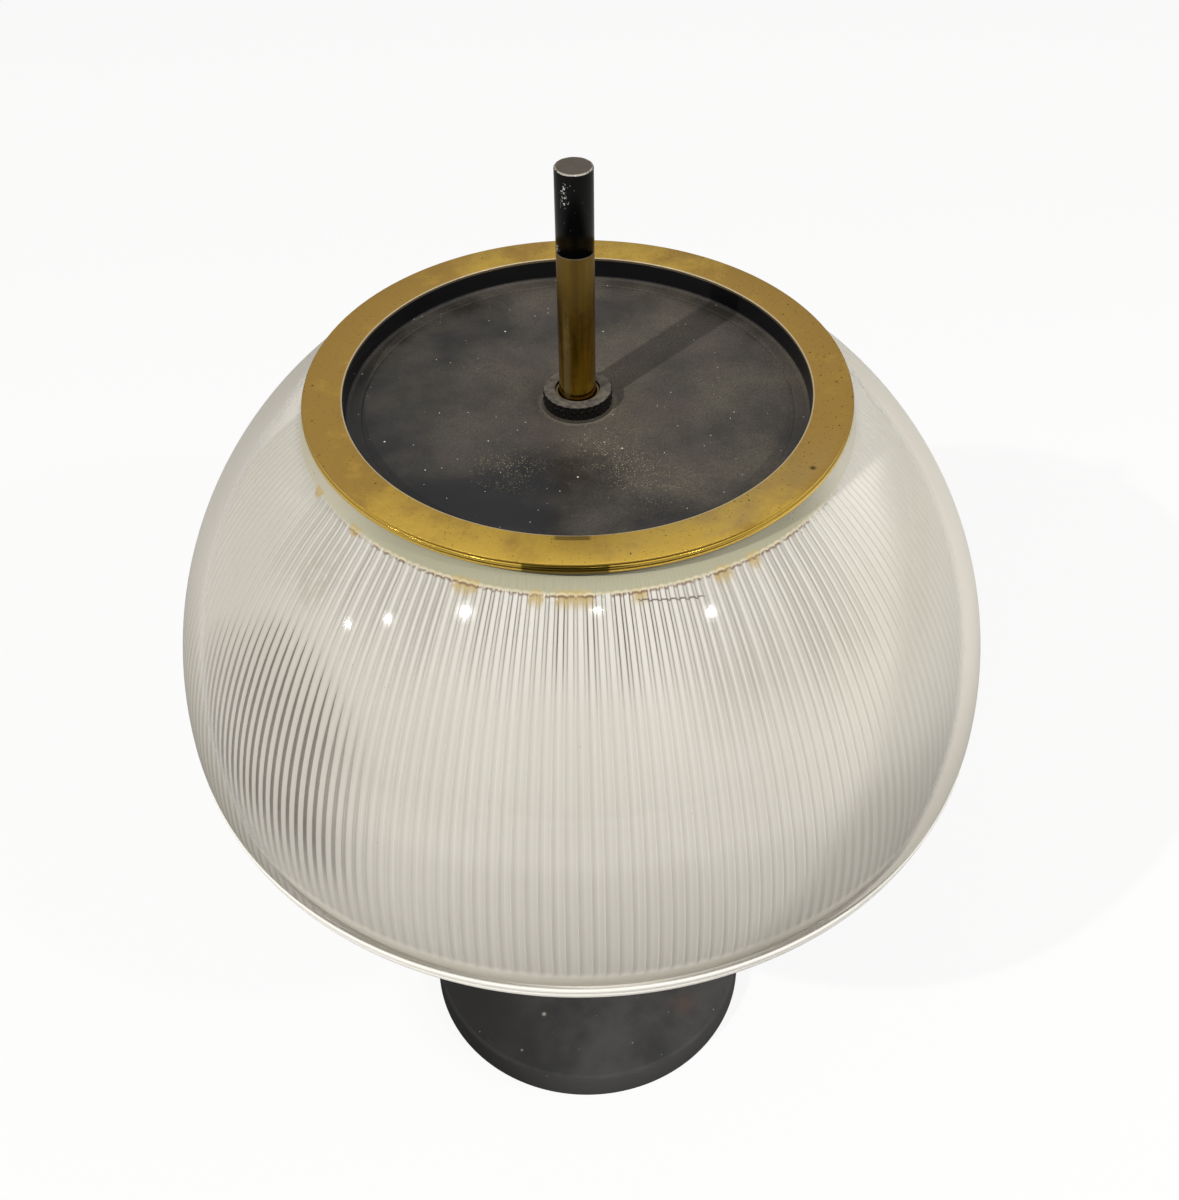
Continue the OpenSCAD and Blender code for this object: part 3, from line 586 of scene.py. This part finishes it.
# The dome: clear pressed glass, glossy outside, with fine ribs moulded inside that are etched milky
# and leave narrow clear gaps. Two beads stand out round its lip, and rust has run down at its top.
dome_r, dome_wall, dome_z = 160.0, 3.8, 232.0
neck_outer, neck_top = 97.3, 359.0
rib_count, rib_depth = 216, 0.65
rib_start, rib_fade, rib_foot = 39.6, 1.6, 223.0
lip_foot, lip_draw, bead_h, bead_out = 214.0, 3.2, 4.0, 0.8
inner_r = dome_r - dome_wall
neck_rise = neck_top - dome_z
skirt_drop = dome_z - lip_foot
skirt_b = skirt_drop / math.sqrt(1 - ((dome_r - lip_draw) / dome_r) ** 2)
outer_neck = math.degrees(math.acos(neck_rise / dome_r))
inner_neck = math.degrees(math.acos(neck_rise / inner_r))


def skirt(sphere_r, height):
    """Radius of the glass below its widest place."""
    return sphere_r * math.sqrt(1 - ((height - dome_z) / skirt_b) ** 2)


def arc_point(sphere_r, angle):
    """Radius and height at an angle from the dome's top."""
    turn = math.radians(angle)
    return sphere_r * math.sin(turn), dome_z + sphere_r * math.cos(turn)


# The section, from the neck's inner corner over the outside to the lip and up the inside: each
# point's radius and height, and how far a rib's crest stands in there
section = [(*arc_point(inner_r, inner_neck), 0), (neck_outer - 2.2, neck_top, 0),
           (neck_outer - 0.9, neck_top - 0.08, 0), (neck_outer + 0.1, neck_top - 0.75, 0)]
outer_bands, skirt_bands, rib_bands = 30, 4, 22
for band in range(1, outer_bands + 1):
    section.append((*arc_point(dome_r, outer_neck + 0.6 + (89.4 - outer_neck) * band / outer_bands), 0))
bead_top = lip_foot + 2 * bead_h
for band in range(1, skirt_bands + 1):
    height = dome_z + (bead_top + 0.2 - dome_z) * band / skirt_bands
    section.append((skirt(dome_r, height), height, 0))
for bead in range(2):
    top = bead_top - bead * bead_h
    for share, stands in ((0.04, 0.35), (0.16, 0.8), (0.34, 1.0), (0.66, 1.0), (0.84, 0.8), (0.96, 0.3)):
        height = top - share * bead_h
        section.append((skirt(dome_r, height) + bead_out * stands, height, 0))
outer_rows = len(section)
lip_outer, lip_inner = skirt(dome_r, lip_foot), skirt(inner_r, lip_foot)
section += [(lip_outer - 0.6, lip_foot, 0), (lip_inner + 0.8, lip_foot, 0),
            (lip_inner + 0.1, lip_foot + 0.6, 0)]
for height, share in ((lip_foot + 4, 0), (rib_foot, 0), (rib_foot + 0.8, 0.4), (rib_foot + 2, 0.8),
                      (rib_foot + 4, 1)):
    section.append((skirt(inner_r, height), height, rib_depth * share))
rib_angles = [90 + (rib_start + rib_fade - 90) * band / rib_bands for band in range(rib_bands)]
rib_angles += [rib_start + share * rib_fade for share in (1.0, 0.75, 0.45, 0.2, 0.0)]
for angle in rib_angles:
    rise = min((angle - rib_start) / rib_fade, 1)
    section.append((*arc_point(inner_r, angle), rib_depth * math.sin(math.pi / 2 * rise)))
for angle in (rib_start - 1.2, (rib_start + inner_neck) / 2):
    section.append((*arc_point(inner_r, angle), 0))

# One rib's slice: a grid, four faces wide, laid on the section and copied round the axis
across = ((-0.5, 0), (-0.31, 0.80), (0, 1), (0.31, 0.80), (0.5, 0))
rows, columns = len(section), len(across) - 1
bpy.ops.object.select_all(action="DESELECT")
bpy.ops.mesh.primitive_grid_add(x_subdivisions=columns, y_subdivisions=rows, size=1)
dome_glass = bpy.context.object
dome_glass.name = dome_glass.data.name = "dome_glass"
slice_rows = []
for v in dome_glass.data.vertices:
    column, row = round((v.co.x + 0.5) * columns), round((v.co.y + 0.5) * rows)
    slice_rows.append(row)
    radius, height, crest = section[row % rows]
    share, stands = across[column]
    if crest:
        out = Vector((radius, height - dome_z)).normalized() * crest * stands
        radius, height = radius - out.x, height - out.y
    turn = 2 * math.pi * share / rib_count
    v.co = Vector((radius * math.cos(turn), radius * math.sin(turn), height)) * MM
for face in dome_glass.data.polygons:
    lowest, highest = (pick(slice_rows[i] for i in face.vertices) for pick in (min, max))
    face.material_index = 0 if 2 <= lowest and highest < outer_rows else 1
bpy.ops.object.mode_set(mode="EDIT")
bpy.ops.mesh.select_all(action="SELECT")
bpy.ops.mesh.spin(dupli=True, steps=rib_count - 1, center=(0, 0, 0), axis=(0, 0, 1),
                  angle=2 * math.pi * (rib_count - 1) / rib_count)
close_up(0.008 * MM)
bpy.ops.object.shade_smooth_by_angle(angle=math.radians(50))


def rib_layout(finish):
    """A place's bearing in radians, its rib's number and how far it is off that rib's crest."""
    bearing = finish.maths("ARCTAN2", finish.y, finish.x)
    turn_share = bearing * (rib_count / (2 * math.pi)) + 0.5
    number = finish.maths("FLOOR", turn_share)
    return bearing, number, finish.maths("ABSOLUTE", turn_share - number - 0.5)


# Outside: a clear face that mirrors more at a glance. It is milky on the two beads, and edge on, where
# thick glass bends the light and shows its milky inside, with the gaps low on the left, right up to the
# outline.
# Its milky tone is painted darker on the left and paler on the right, as painted shade and light, and
# those gaps are painted dark as painted shade.
film = Finish("clear_glass_face")
beads = film.span(film.z, bead_top + 1.2, bead_top - 0.4)
facing = film.node("ShaderNodeLayerWeight", {}, {"Blend": 0.5}, "Facing")
far_right = film.span(film.x, 85, 135) * 0.14
edge_on = film.maths("MAXIMUM", far_right, film.ease(facing, 0.66, 0.748) * 0.96)
milk = film.maths("MAXIMUM", beads * 0.9, edge_on)
mirror = 0.045 + facing ** 4.5 * 0.45
film_share = mirror + milk * (1 - mirror)
ripple = film.grain(30, 1)
# Painted shade: the gaps low on the left, dark near the outline
painted_shade_gaps = film.ease(rib_layout(film)[2], 0.24, 0.34) * film.span(film.x, -60, -105) * \
    film.span(film.z, 306, 280)
# Painted shade and light: the milky tone is darker on the left and paler on the right
film_tone = film.layers(
    film.mix(film.span(film.x, -90, 90), (0.44, 0.415, 0.36), (0.66, 0.63, 0.55)),
    (painted_shade_gaps * 0.6, (0.22, 0.205, 0.175)),
    (beads, (0.97, 0.95, 0.89)))
film.shine(film.mix(milk, (0.96, 0.96, 0.95), film_tone), 0.06 + milk * 0.25, ripple, 0.02,
           Metallic=1 - milk)
film_clear = film.node("ShaderNodeBsdfTransparent", {}, {"Color": (0.985, 0.99, 0.98, 1)})
film.show(film.blend(film_share, film_clear, film.body))

# Inside: milky ribs with darker gaps between them, whose look changes round the dome, painted in as
# light
# and shade: fine dark lines above at the front and broad dark gaps low on the left are painted shade,
# the bright crests beside them are painted light, and there are faint lines elsewhere. The milky tone is
# painted paler high up and on the right, and darker on the left. Above the ribs lies a grey-green band,
# painted paler on the right, edged with rust at the ribs' starts.
ribs = Finish("milky_ribs")
bearing, rib_number, off_crest = rib_layout(ribs)
each_rib = ribs.node("ShaderNodeTexWhiteNoise", {"noise_dimensions": "1D"}, {"W": rib_number})
start_z = (dome_z + inner_r * math.cos(math.radians(rib_start))) * MM
scallop = ribs.z + off_crest * off_crest * 0.0010
below_start = ribs.ease(scallop, start_z + 0.0001, start_z - 0.0005)
on_ribs = below_start * ribs.span(ribs.z, rib_foot, rib_foot + 3)
crest = ribs.ease(off_crest, 0.13, 0.05)
twin = ribs.band(off_crest, 0.20, 0.28, 0.34, 0.42)
half_line = ribs.ease(off_crest, 0.07, 0.02) + ribs.ease(off_crest, 0.42, 0.47)


def bearing_between(start, end):
    """0 at one bearing and 1 at another, in degrees round from the right; the front is at -90."""
    return ribs.ease(bearing, math.radians(start), math.radians(end))


clouds = ribs.grain(45, 4, 0.55)
wander = ribs.grain(30, 2) * 0.018 - 0.009
speckle = ribs.grain(0.6, 2)
vary = 0.65 + each_rib * 0.55
upper = ribs.span(ribs.z + wander, 320, 346)
left_part, right_part = bearing_between(-101, -118), bearing_between(-79, -64)
# Painted shade: fine dark lines in the gaps, high up at the front
fine_painted_shade = upper * (1 - left_part * 0.62) * (1 - right_part * 0.72) * bearing_between(-160, -140) * \
    bearing_between(-25, -50)
# Painted light and shade: left and right of the front, the ground between the crests is painted darker,
# so the crests show bright
painted_bright_crests = left_part * bearing_between(-165, -140) * upper + \
    right_part * bearing_between(-22, -46) * ribs.span(ribs.z + wander, 300, 330)
peak_bearing = -2.40
off_peak = bearing - peak_bearing
low_left = ribs.z + wander + off_peak * off_peak * 0.21
# Painted shade: broad dark gaps low on the left
broad_painted_shade = bearing_between(-173, -142) * bearing_between(-114, -130) * \
    ribs.span(ribs.z + wander, 224, 262) * ribs.span(low_left, 331, 317)
gap_from = 0.27 + ribs.span(low_left, 294, 328) * 0.16
gap = ribs.ease(off_crest - gap_from, 0, 0.03)
above = ribs.ease(scallop, start_z - 0.0001, start_z + 0.0002)
at_front = bearing_between(-152, -124) * bearing_between(-22, -46)
# Painted light and shade: the band is paler on the right than on the left
band_side = ribs.mix(bearing_between(-90, -30), (0.49, 0.46, 0.365), (0.66, 0.63, 0.54))
stain = ribs.near(-36, -92.5, 7)
for stain_x, stain_y, stain_reach in ((-14, -100, 4), (-2, -101, 9), (19, -100, 4), (46, -90, 5),
                                      (56, -83, 4), (-73, -66, 4), (-87, -46, 4)):
    stain = stain + ribs.near(stain_x, stain_y, stain_reach)
rust_cloud = ribs.grain(1.1, 4, 0.75)
rust_some = ribs.ease(rust_cloud + each_rib * 0.12 + stain * 0.10, 0.50, 0.58) * at_front
rust_line = ribs.band(scallop, start_z - 0.0010, start_z - 0.0006, start_z - 0.0003, start_z)
pale_line = ribs.band(scallop, start_z - 0.0004, start_z, start_z + 0.0002, start_z + 0.0006)
rust_run = ribs.band(scallop, start_z - 0.0042, start_z - 0.0010, start_z + 0.0003, start_z + 0.0014)
right_dots = ribs.near(73, -68, 20) * ribs.dots(1.5, 0.30, 0.9) * \
    ribs.ease(scallop, start_z - 0.0022, start_z - 0.0016)
crack_z, crack_slope = 0.3523, 0.105
crack_off = ribs.maths("ABSOLUTE", ribs.z + ribs.x * crack_slope + ribs.grain(4, 2) * 0.0006 - crack_z)
crack = ribs.span(crack_off, 0.24, 0.1) * ribs.band(ribs.x, 0.017, 0.019, 0.038, 0.041) * \
    ribs.span(ribs.y, 0, -10)
specks = ribs.dots(9, 0.30, 0.8) + ribs.dots(4.3, 0.12, 0.5)
milky = ribs.layers(
    ribs.mix(clouds, (0.595, 0.565, 0.522), (0.655, 0.628, 0.588)),
    # Painted light and shade: paler on the right, darker on the left, and paler high up save on the left
    (ribs.span(ribs.x, 50, 120) * ribs.span(ribs.z, 255, 325) * 0.8, (0.90, 0.855, 0.765)),
    (ribs.span(ribs.x, 0, -95) * ribs.span(ribs.z, 245, 300) * 0.85, (0.575, 0.543, 0.495)),
    (upper * bearing_between(-165, -130) * 0.5, (0.80, 0.775, 0.745)),
    (painted_bright_crests * (1 - crest) * 0.50 * vary, (0.33, 0.31, 0.27)),
    (fine_painted_shade * twin * vary * 0.98, (0.10, 0.085, 0.075)),
    (broad_painted_shade * gap * (0.74 + speckle * 0.32), (0.105, 0.09, 0.075)),
    (on_ribs * twin * (0.05 + broad_painted_shade * 0.08 + clouds * 0.08) * vary, (0.32, 0.30, 0.265)),
    (on_ribs * (1 - upper) * (1 - broad_painted_shade) * half_line * 0.30 * vary, (0.86, 0.835, 0.79)),
    (ribs.span(ribs.z, rib_foot + 4, rib_foot) * 0.8, (0.82, 0.79, 0.73)),
    (ribs.near(-87, -73, 14) * ribs.ease(ribs.grain(5, 4, 0.7), 0.35, 0.65) * 0.5, (0.32, 0.305, 0.22)),
    (above, ribs.mix(at_front, band_side, (0.345, 0.33, 0.232))),
    (rust_run * ribs.ease(stain * 0.9 + rust_cloud, 0.62, 0.90) * (0.45 + speckle * 0.7),
     (0.46, 0.33, 0.10)),
    (pale_line * (0.08 + at_front * (0.30 + each_rib * 0.45)), (0.66, 0.57, 0.38)),
    (rust_line * rust_some * 0.85, (0.17, 0.085, 0.03)),
    (specks * 0.7 + right_dots * 0.8 + crack * 0.9, (0.08, 0.06, 0.045)))
ribs.shine(milky, 0.38 + clouds * 0.15, ribs.grain(0.5, 2), 0.02)
ribs_behind = ribs.node("ShaderNodeBsdfTranslucent", {}, {"Color": (0.66, 0.635, 0.585, 1)})
ribs_clear = ribs.node("ShaderNodeBsdfTransparent", {}, {"Color": (0.97, 0.98, 0.96, 1)})
lets_through = (1 - fine_painted_shade * twin * 0.8) * (1 - broad_painted_shade * gap * 0.85) * (1 - above * 0.4) * 0.22
ribs_milk = ribs.blend(lets_through, ribs.body, ribs_behind)
ribs.show(ribs.blend(on_ribs * (0.008 + gap * 0.02), ribs_milk, ribs_clear))
settle(dome_glass, film, "shade", "glass_shade")
dome_glass.data.materials.append(ribs.material)


# The dish: pressed steel in glossy black lacquer, with a shallow groove round its floor. Grey-brown
# dust lies on the floor, thickest round the nut, and the wall has stayed black and shiny.
dish_floor, dish_wall, dish_top, dish_r = 354.0, 1.0, 362.0, 83.4
flange_foot, flange_r, dish_hole = 361.0, 96.0, 8.3
groove_at, groove_half, groove_depth = 77.9, 0.63, 0.18
dish = turned("dish_pressing", [
    (dish_hole, dish_floor), (groove_at - groove_half, dish_floor, 0.25),
    (groove_at, dish_floor - groove_depth, 0.35), (groove_at + groove_half, dish_floor, 0.25),
    (dish_r, dish_floor, 1.6), (dish_r, dish_top), (flange_r, dish_top), (flange_r, flange_foot),
    (dish_r + dish_wall, flange_foot), (dish_r + dish_wall, dish_floor - dish_wall, 2.6),
    (dish_hole, dish_floor - dish_wall)], steps=256, edge=0.2)
lacquer = Finish("dusty_black_lacquer")
on_floor = lacquer.span(lacquer.z, dish_floor + 1.3, dish_floor + 0.2)
reach = lacquer.radius()
dust_cloud = lacquer.ease(lacquer.grain(30, 6, 0.55), 0.18, 0.82)
dust_fine = lacquer.grain(0.45, 3, 0.8)
towards_back = lacquer.span(lacquer.y, -40, 50)
towards_right = lacquer.span(lacquer.x, -60, 60)
round_nut = lacquer.span(reach, 44, 12)
clean = lacquer.near(-38, -60, 34) * 0.5 + lacquer.near(-14, -66, 22) * 0.25 + \
    lacquer.near(-66, -20, 30) * 0.22 + lacquer.near(30, -66, 18) * 0.2
dust = on_floor * lacquer.ease(dust_cloud * 0.60 + towards_back * 0.08 + towards_right * 0.20
                               + round_nut * 0.34 - clean, 0.0, 1.15)
streak_grain = lacquer.dots(0.6, 0.62, 0.55)
streak_cloud = lacquer.ease(lacquer.grain(7, 5, 0.7, lacquer.stretched(0.5, 1.7, 1)), 0.36, 0.56)
streak = on_floor * streak_grain * streak_cloud * \
    (lacquer.near(-24, -37, 20) + lacquer.near(9, -27, 22) * 1.3 + lacquer.near(24, -46, 24) * 0.9)
plum = lacquer.ease(lacquer.grain(22, 3), 0.46, 0.62)
specks = lacquer.dots(2.6, 0.28, 0.55) + lacquer.dots(5.2, 0.30, 1.0)
nut_ring = lacquer.ease(lacquer.grain(1.2, 3, 0.7) + lacquer.span(reach, 15.5, 12.8) * 0.5,
                        0.62, 0.95) * on_floor
tone = lacquer.layers(
    lacquer.mix(dust_cloud * on_floor, (0.004, 0.004, 0.005), (0.011, 0.011, 0.012)),
    (dust * lacquer.ease(dust_fine, 0.12, 0.88) * 1.5, (0.125, 0.110, 0.084)),
    (plum * dust * 0.5, (0.055, 0.040, 0.041)),
    (streak * 0.85, (0.34, 0.285, 0.165)),
    (nut_ring * 0.22, (0.26, 0.23, 0.17)),
    (specks * on_floor * 0.8, (0.66, 0.64, 0.58)))
lacquer.shine(tone, 0.09 + dust * 0.75 + on_floor * 0.14,
              dust_fine * dust + specks * on_floor, 0.035, Specular_IOR_Level=0.35)
settle(dish, lacquer, "cover", "cover_dish")


# The brass ring: pressed brass that covers the dish's flange, with a flat satin face, a rounded
# shoulder and a rolled edge that is still bright. Its lacquer has worn off in pits and brown clouds.
ring_top, ring_outer, ring_foot, ring_skin = 363.0, 98.0, 359.3, 1.0
shoulder_r, undercut_r = ring_outer - 0.5, ring_outer - 0.8
brass_ring = turned("brass_rim", [
    (dish_r, dish_top), (dish_r, ring_top, 0.35), (shoulder_r, ring_top, 0.4),
    (shoulder_r, ring_top - 0.75), (undercut_r, ring_top - 0.9), (ring_outer, ring_top - 1.0, 0.9),
    (ring_outer, ring_foot, 0.9), (ring_outer - ring_skin, ring_foot, 0.2),
    (ring_outer - ring_skin, dish_top)], steps=256)
rim = Finish("spotted_ring_brass")
rim_cloud = rim.grain(17, 5, 0.62)
rim_fine = rim.grain(1.3, 4, 0.7)
to_right = rim.span(rim.x, -30, 95)
to_back = rim.span(rim.y, -20, 80)
on_face = rim.span(rim.z, ring_top - 0.35, ring_top - 0.12)
to_side = rim.ease(rim.x * rim.x, 0.0004, 0.0072)
brown = rim.ease(rim_cloud + to_back * 0.10 + to_side * 0.30, 0.46, 0.80) * on_face
pit_zone = rim.ease(rim.grain(11, 3, 0.6) + to_right * 0.16, 0.44, 0.62)
pits = rim.dots(0.85, 0.18 + pit_zone * 0.34, 0.5) + rim.dots(2.3, 0.06 + pit_zone * 0.2, 1.0)
inner_line = rim.span(rim.radius(), dish_r + 0.7, dish_r + 0.3)
haze = rim.span(rim.x, -12, 45) * rim.span(rim.y, -20, -60) * on_face * rim.span(rim.radius(), 97, 94)
stain = rim.ease(rim.near(-2.2, -85.2, 8.5), 0.1, 0.4) * rim.span(rim.radius(), 86.0, 85.7)
on_roll = rim.span(rim.z, ring_top - 0.6, ring_top - 0.8)
# Painted reflection: the viewer's dark shape, painted on the rolled edge at the front
painted_viewer_reflection = rim.band(rim.x, -18.8 * MM, -17.6 * MM, 8.6 * MM, 9.8 * MM) * rim.span(rim.y, 0, -50)
tone = rim.layers(
    rim.mix(rim_fine, (0.75, 0.495, 0.083), (0.87, 0.585, 0.112)),
    (brown * 0.66, (0.40, 0.235, 0.075)),
    (haze * rim.ease(rim_cloud, 0.25, 0.6) * 0.5, (0.56, 0.40, 0.17)),
    (pits * on_face * 0.9, (0.08, 0.04, 0.012)),
    (stain * 0.7, (0.16, 0.115, 0.03)),
    (rim.near(77.9, -51.2, 1.7) * 0.95, (0.05, 0.035, 0.012)),
    (on_roll * painted_viewer_reflection * 0.88, (0.11, 0.075, 0.008)),
    (inner_line * 0.8, (0.92, 0.80, 0.58)))
turned_lines = 5200
rim_lines = rim.node("ShaderNodeTexNoise", {"noise_dimensions": "1D"},
                     {"W": rim.radius(), "Scale": turned_lines, "Detail": 2})
rim.shine(tone, 0.15 + on_face * 0.17 + brown * 0.20, rim_lines * 0.5 * on_face - pits, 0.006,
          Metallic=1.0)
settle(brass_ring, rim, "cover", "brass_ring")


# The nut that holds the cover down: blackened brass with a diamond knurl and a dusty top. A thin
# steel washer lies under it, and the threaded bush in its bore stands clear of the rod.
washer_foot, washer_top, washer_r, washer_hole = 354.0, 354.7, 12.9, 8.2
washer = tube("steel_washer", washer_hole, washer_r, washer_foot, washer_top, steps=96, edge=0.15)
washer_steel = Finish("dull_washer_steel")
wear = washer_steel.grain(1.2, 4, 0.7)
washer_steel.shine(washer_steel.mix(wear, (0.07, 0.063, 0.05), (0.15, 0.135, 0.11)),
                   0.42 + wear * 0.3, wear, 0.02, Metallic=0.8)
settle(washer, washer_steel, "washer", "nut_washer")

nut_foot, nut_top, nut_r, nut_bore, nut_chamfer = 354.7, 360.2, 12.5, 8.06, 0.5
knurl_count, knurl_rows, knurl_depth = 30, 3, 0.55
knurl_n = 2 * knurl_count
knurl_foot, knurl_h = nut_foot + nut_chamfer, nut_top - nut_foot - 2 * nut_chamfer
bpy.ops.object.select_all(action="DESELECT")
bpy.ops.mesh.primitive_cylinder_add(vertices=knurl_n, radius=nut_r * MM, depth=knurl_h * MM,
                                    end_fill_type="NOTHING",
                                    location=(0, 0, (knurl_foot + knurl_h / 2) * MM))
nut = bpy.context.object
nut.name = nut.data.name = "knurled_nut_turned"
bpy.ops.object.transform_apply(location=True, rotation=True, scale=True)
bpy.ops.object.mode_set(mode="EDIT")
for row in range(1, knurl_rows):
    bpy.ops.mesh.select_all(action="SELECT")
    bpy.ops.mesh.bisect(plane_co=(0, 0, (knurl_foot + knurl_h * row / knurl_rows) * MM),
                        plane_no=(0, 0, 1))
bpy.ops.object.mode_set(mode="OBJECT")


def is_hollow(corner):
    """Whether a corner is one of the knurl's hollows, which take turns with its peaks."""
    column = round(math.atan2(corner.co.y, corner.co.x) / (2 * math.pi) * knurl_n)
    row = round((corner.co.z / MM - knurl_foot) / knurl_h * knurl_rows)
    return (column + row) % 2


for v in nut.data.vertices:
    if is_hollow(v):
        v.co.xy *= (nut_r - knurl_depth) / nut_r
knurl = bmesh.new()
knurl.from_mesh(nut.data)
for face in list(knurl.faces):
    bmesh.utils.face_split(face, *(v for v in face.verts if is_hollow(v)))
knurl.to_mesh(nut.data)
knurl.free()


def draw_in(radius):
    """Brings the selected corners of the nut to a radius."""
    mesh = bmesh.from_edit_mesh(nut.data)
    for v in mesh.verts:
        if v.select:
            v.co.xy = v.co.xy.normalized() * radius * MM
    bmesh.update_edit_mesh(nut.data)


same_level = 0.01
for level, rise in ((knurl_foot + knurl_h, nut_chamfer), (knurl_foot, -nut_chamfer)):
    bpy.ops.object.mode_set(mode="EDIT")
    mesh = bmesh.from_edit_mesh(nut.data)
    for v in mesh.verts:
        v.select_set(abs(v.co.z / MM - level) < same_level)
    mesh.select_flush(True)
    bmesh.update_edit_mesh(nut.data)
    bpy.ops.mesh.extrude_region_move(TRANSFORM_OT_translate={"value": (0, 0, rise * MM)})
    draw_in(nut_r - nut_chamfer)
    bpy.ops.mesh.extrude_region_move(TRANSFORM_OT_translate={"value": (0, 0, 0)})
    draw_in(nut_bore)
    bpy.ops.object.mode_set(mode="OBJECT")
bpy.ops.object.mode_set(mode="EDIT")
mesh = bmesh.from_edit_mesh(nut.data)
for edge in mesh.edges:
    edge.select_set(edge.is_boundary)
bmesh.update_edit_mesh(nut.data)
bpy.ops.mesh.bridge_edge_loops()
close_up()
ease_edges(nut, 0.07, 2)
bpy.ops.object.shade_smooth_by_angle(angle=math.radians(20))
blackened = Finish("blackened_nut")
wear_cloud = blackened.grain(2.2, 4, 0.7)
nut_dust = blackened.span(blackened.z, nut_top - 0.35, nut_top - 0.05)
# The knurl's peaks are painted paler: worn metal, and painted glints of light
peak_wear_and_glint = blackened.span(blackened.radius(), nut_r - 0.16, nut_r - 0.02)
tone = blackened.layers(
    blackened.mix(wear_cloud, (0.018, 0.018, 0.018), (0.04, 0.04, 0.038)),
    (peak_wear_and_glint * 0.5, (0.30, 0.29, 0.27)),
    (nut_dust * blackened.ease(wear_cloud, 0.25, 0.65), (0.112, 0.10, 0.079)))
blackened.shine(tone, 0.22 + wear_cloud * 0.10 + nut_dust * 0.45, wear_cloud, 0.012,
                Metallic=0.9 - nut_dust * 0.8)
settle(nut, blackened, "nut", "knurled_nut")

bush_foot, bush_top, bush_r, bush_bore = 345.0, 359.4, 8.0, 7.0
bush = tube("threaded_bush", bush_bore, bush_r, bush_foot, bush_top, edge=0.15)
bush_brass = Finish("dull_bush_brass")
bush_wear = bush_brass.grain(1.0, 4, 0.7)
bush_brass.shine(bush_brass.mix(bush_wear, (0.12, 0.085, 0.04), (0.30, 0.23, 0.12)),
                 0.35 + bush_wear * 0.3, bush_wear, 0.02, Metallic=0.9)
settle(bush, bush_brass, "stand", "clamp_bush")


# The handle: a brass rod screwed on the tie tube, tarnished brown above and brighter below, and a
# black lacquered grip on its end. The lacquer is chipped on the left and worn off the top's rim.
rod_foot, grip_foot, grip_top = 345.0, 416.0, 446.5
rod = tube("handle_bar", stem_bore, stem_r, rod_foot, grip_foot, steps=96, edge=0.2)
olive = Finish("olive_handle_brass")
rod_streaks = olive.grain(1.3, 4, 0.65, olive.stretched(1, 1, 0.04))
rod_hairs = olive.grain(0.25, 2, 0.5, olive.stretched(1, 1, 0.02))
rod_clouds = olive.grain(6, 5, 0.7)
rod_spots = olive.ease(olive.grain(1.0, 3, 0.7), 0.66, 0.74)
rod_upper = olive.span(olive.z + (rod_clouds - 0.5) * 0.02, 374, 402)
rod_turn = olive.maths("ARCTAN2", olive.y, olive.x)
# Painted highlight: a pale upright streak to the left of the front, on the lower rod
rod_painted_highlight = olive.band(rod_turn, *(math.radians(a) for a in (-140, -131, -118, -106))) * (1 - rod_upper)
tone = olive.layers(
    olive.mix(olive.ease(rod_streaks, 0.3, 0.7), (0.44, 0.245, 0.018), (0.68, 0.42, 0.046)),
    (olive.ease(rod_clouds, 0.5, 0.72) * 0.5, (0.24, 0.12, 0.015)),
    (rod_upper * 0.8, (0.145, 0.098, 0.036)),
    (rod_painted_highlight * 0.60, (0.80, 0.66, 0.33)),
    (rod_spots * 0.5, (0.06, 0.035, 0.012)))
olive.shine(tone, 0.17 + rod_streaks * 0.12 + rod_upper * 0.16 + rod_painted_highlight * 0.2,
            rod_hairs + rod_spots, 0.006, Metallic=1.0)
settle(rod, olive, "stand", "handle_rod")

grip = turned("handle_grip_cap", [(0, grip_foot), (stem_r, grip_foot, 0.15),
                                  (stem_r, grip_top, 0.6), (0, grip_top)], steps=96)
chipped = Finish("chipped_black_lacquer")
scrape = chipped.grain(1.0, 5, 0.75)
chip_zone = chipped.near(-3.3, -5.6, 3.0)
high_chips = chipped.band(chipped.z, 433 * MM, 437 * MM, 442 * MM, 445 * MM)
low_chips = chipped.span(chipped.z, 422.5, 419) * chipped.near(-6.2, -2.6, 2.6)
chips = chipped.ease(scrape + chip_zone * high_chips * 0.15 + low_chips * 0.18, 0.685, 0.71)
strays = chipped.dots(1.6, 0.12, 0.35)
on_top = chipped.span(chipped.z, grip_top - 0.25, grip_top - 0.06)
top_cloud = chipped.grain(2.2, 5, 0.75)
worn_rim = chipped.span(chipped.radius(), stem_r - 0.8, stem_r - 0.5) * \
    chipped.span(chipped.z, grip_top - 0.45, grip_top - 0.15) * \
    chipped.ease(chipped.grain(1.3, 4, 0.75) + chipped.near(0, -6.5, 7) * 0.22, 0.48, 0.60)
seam = chipped.span(chipped.z, grip_foot + 0.5, grip_foot + 0.1)
tone = chipped.layers(
    chipped.mix(top_cloud, (0.0005, 0.0005, 0.0006), (0.0014, 0.0014, 0.0015)),
    (on_top * (0.55 + top_cloud * 0.7), (0.078, 0.067, 0.056)),
    (chips * 0.9 + strays * 0.5, (0.50, 0.50, 0.48)),
    (seam * 0.6, (0.30, 0.27, 0.20)),
    (worn_rim * 0.9, (0.56, 0.52, 0.46)))
chipped.shine(tone, 0.07 + top_cloud * 0.06 + on_top * 0.4, scrape * 0.1 - chips, 0.03,
              Metallic=worn_rim * 0.6, Specular_IOR_Level=0.13)
settle(grip, chipped, "stand", "handle_grip")
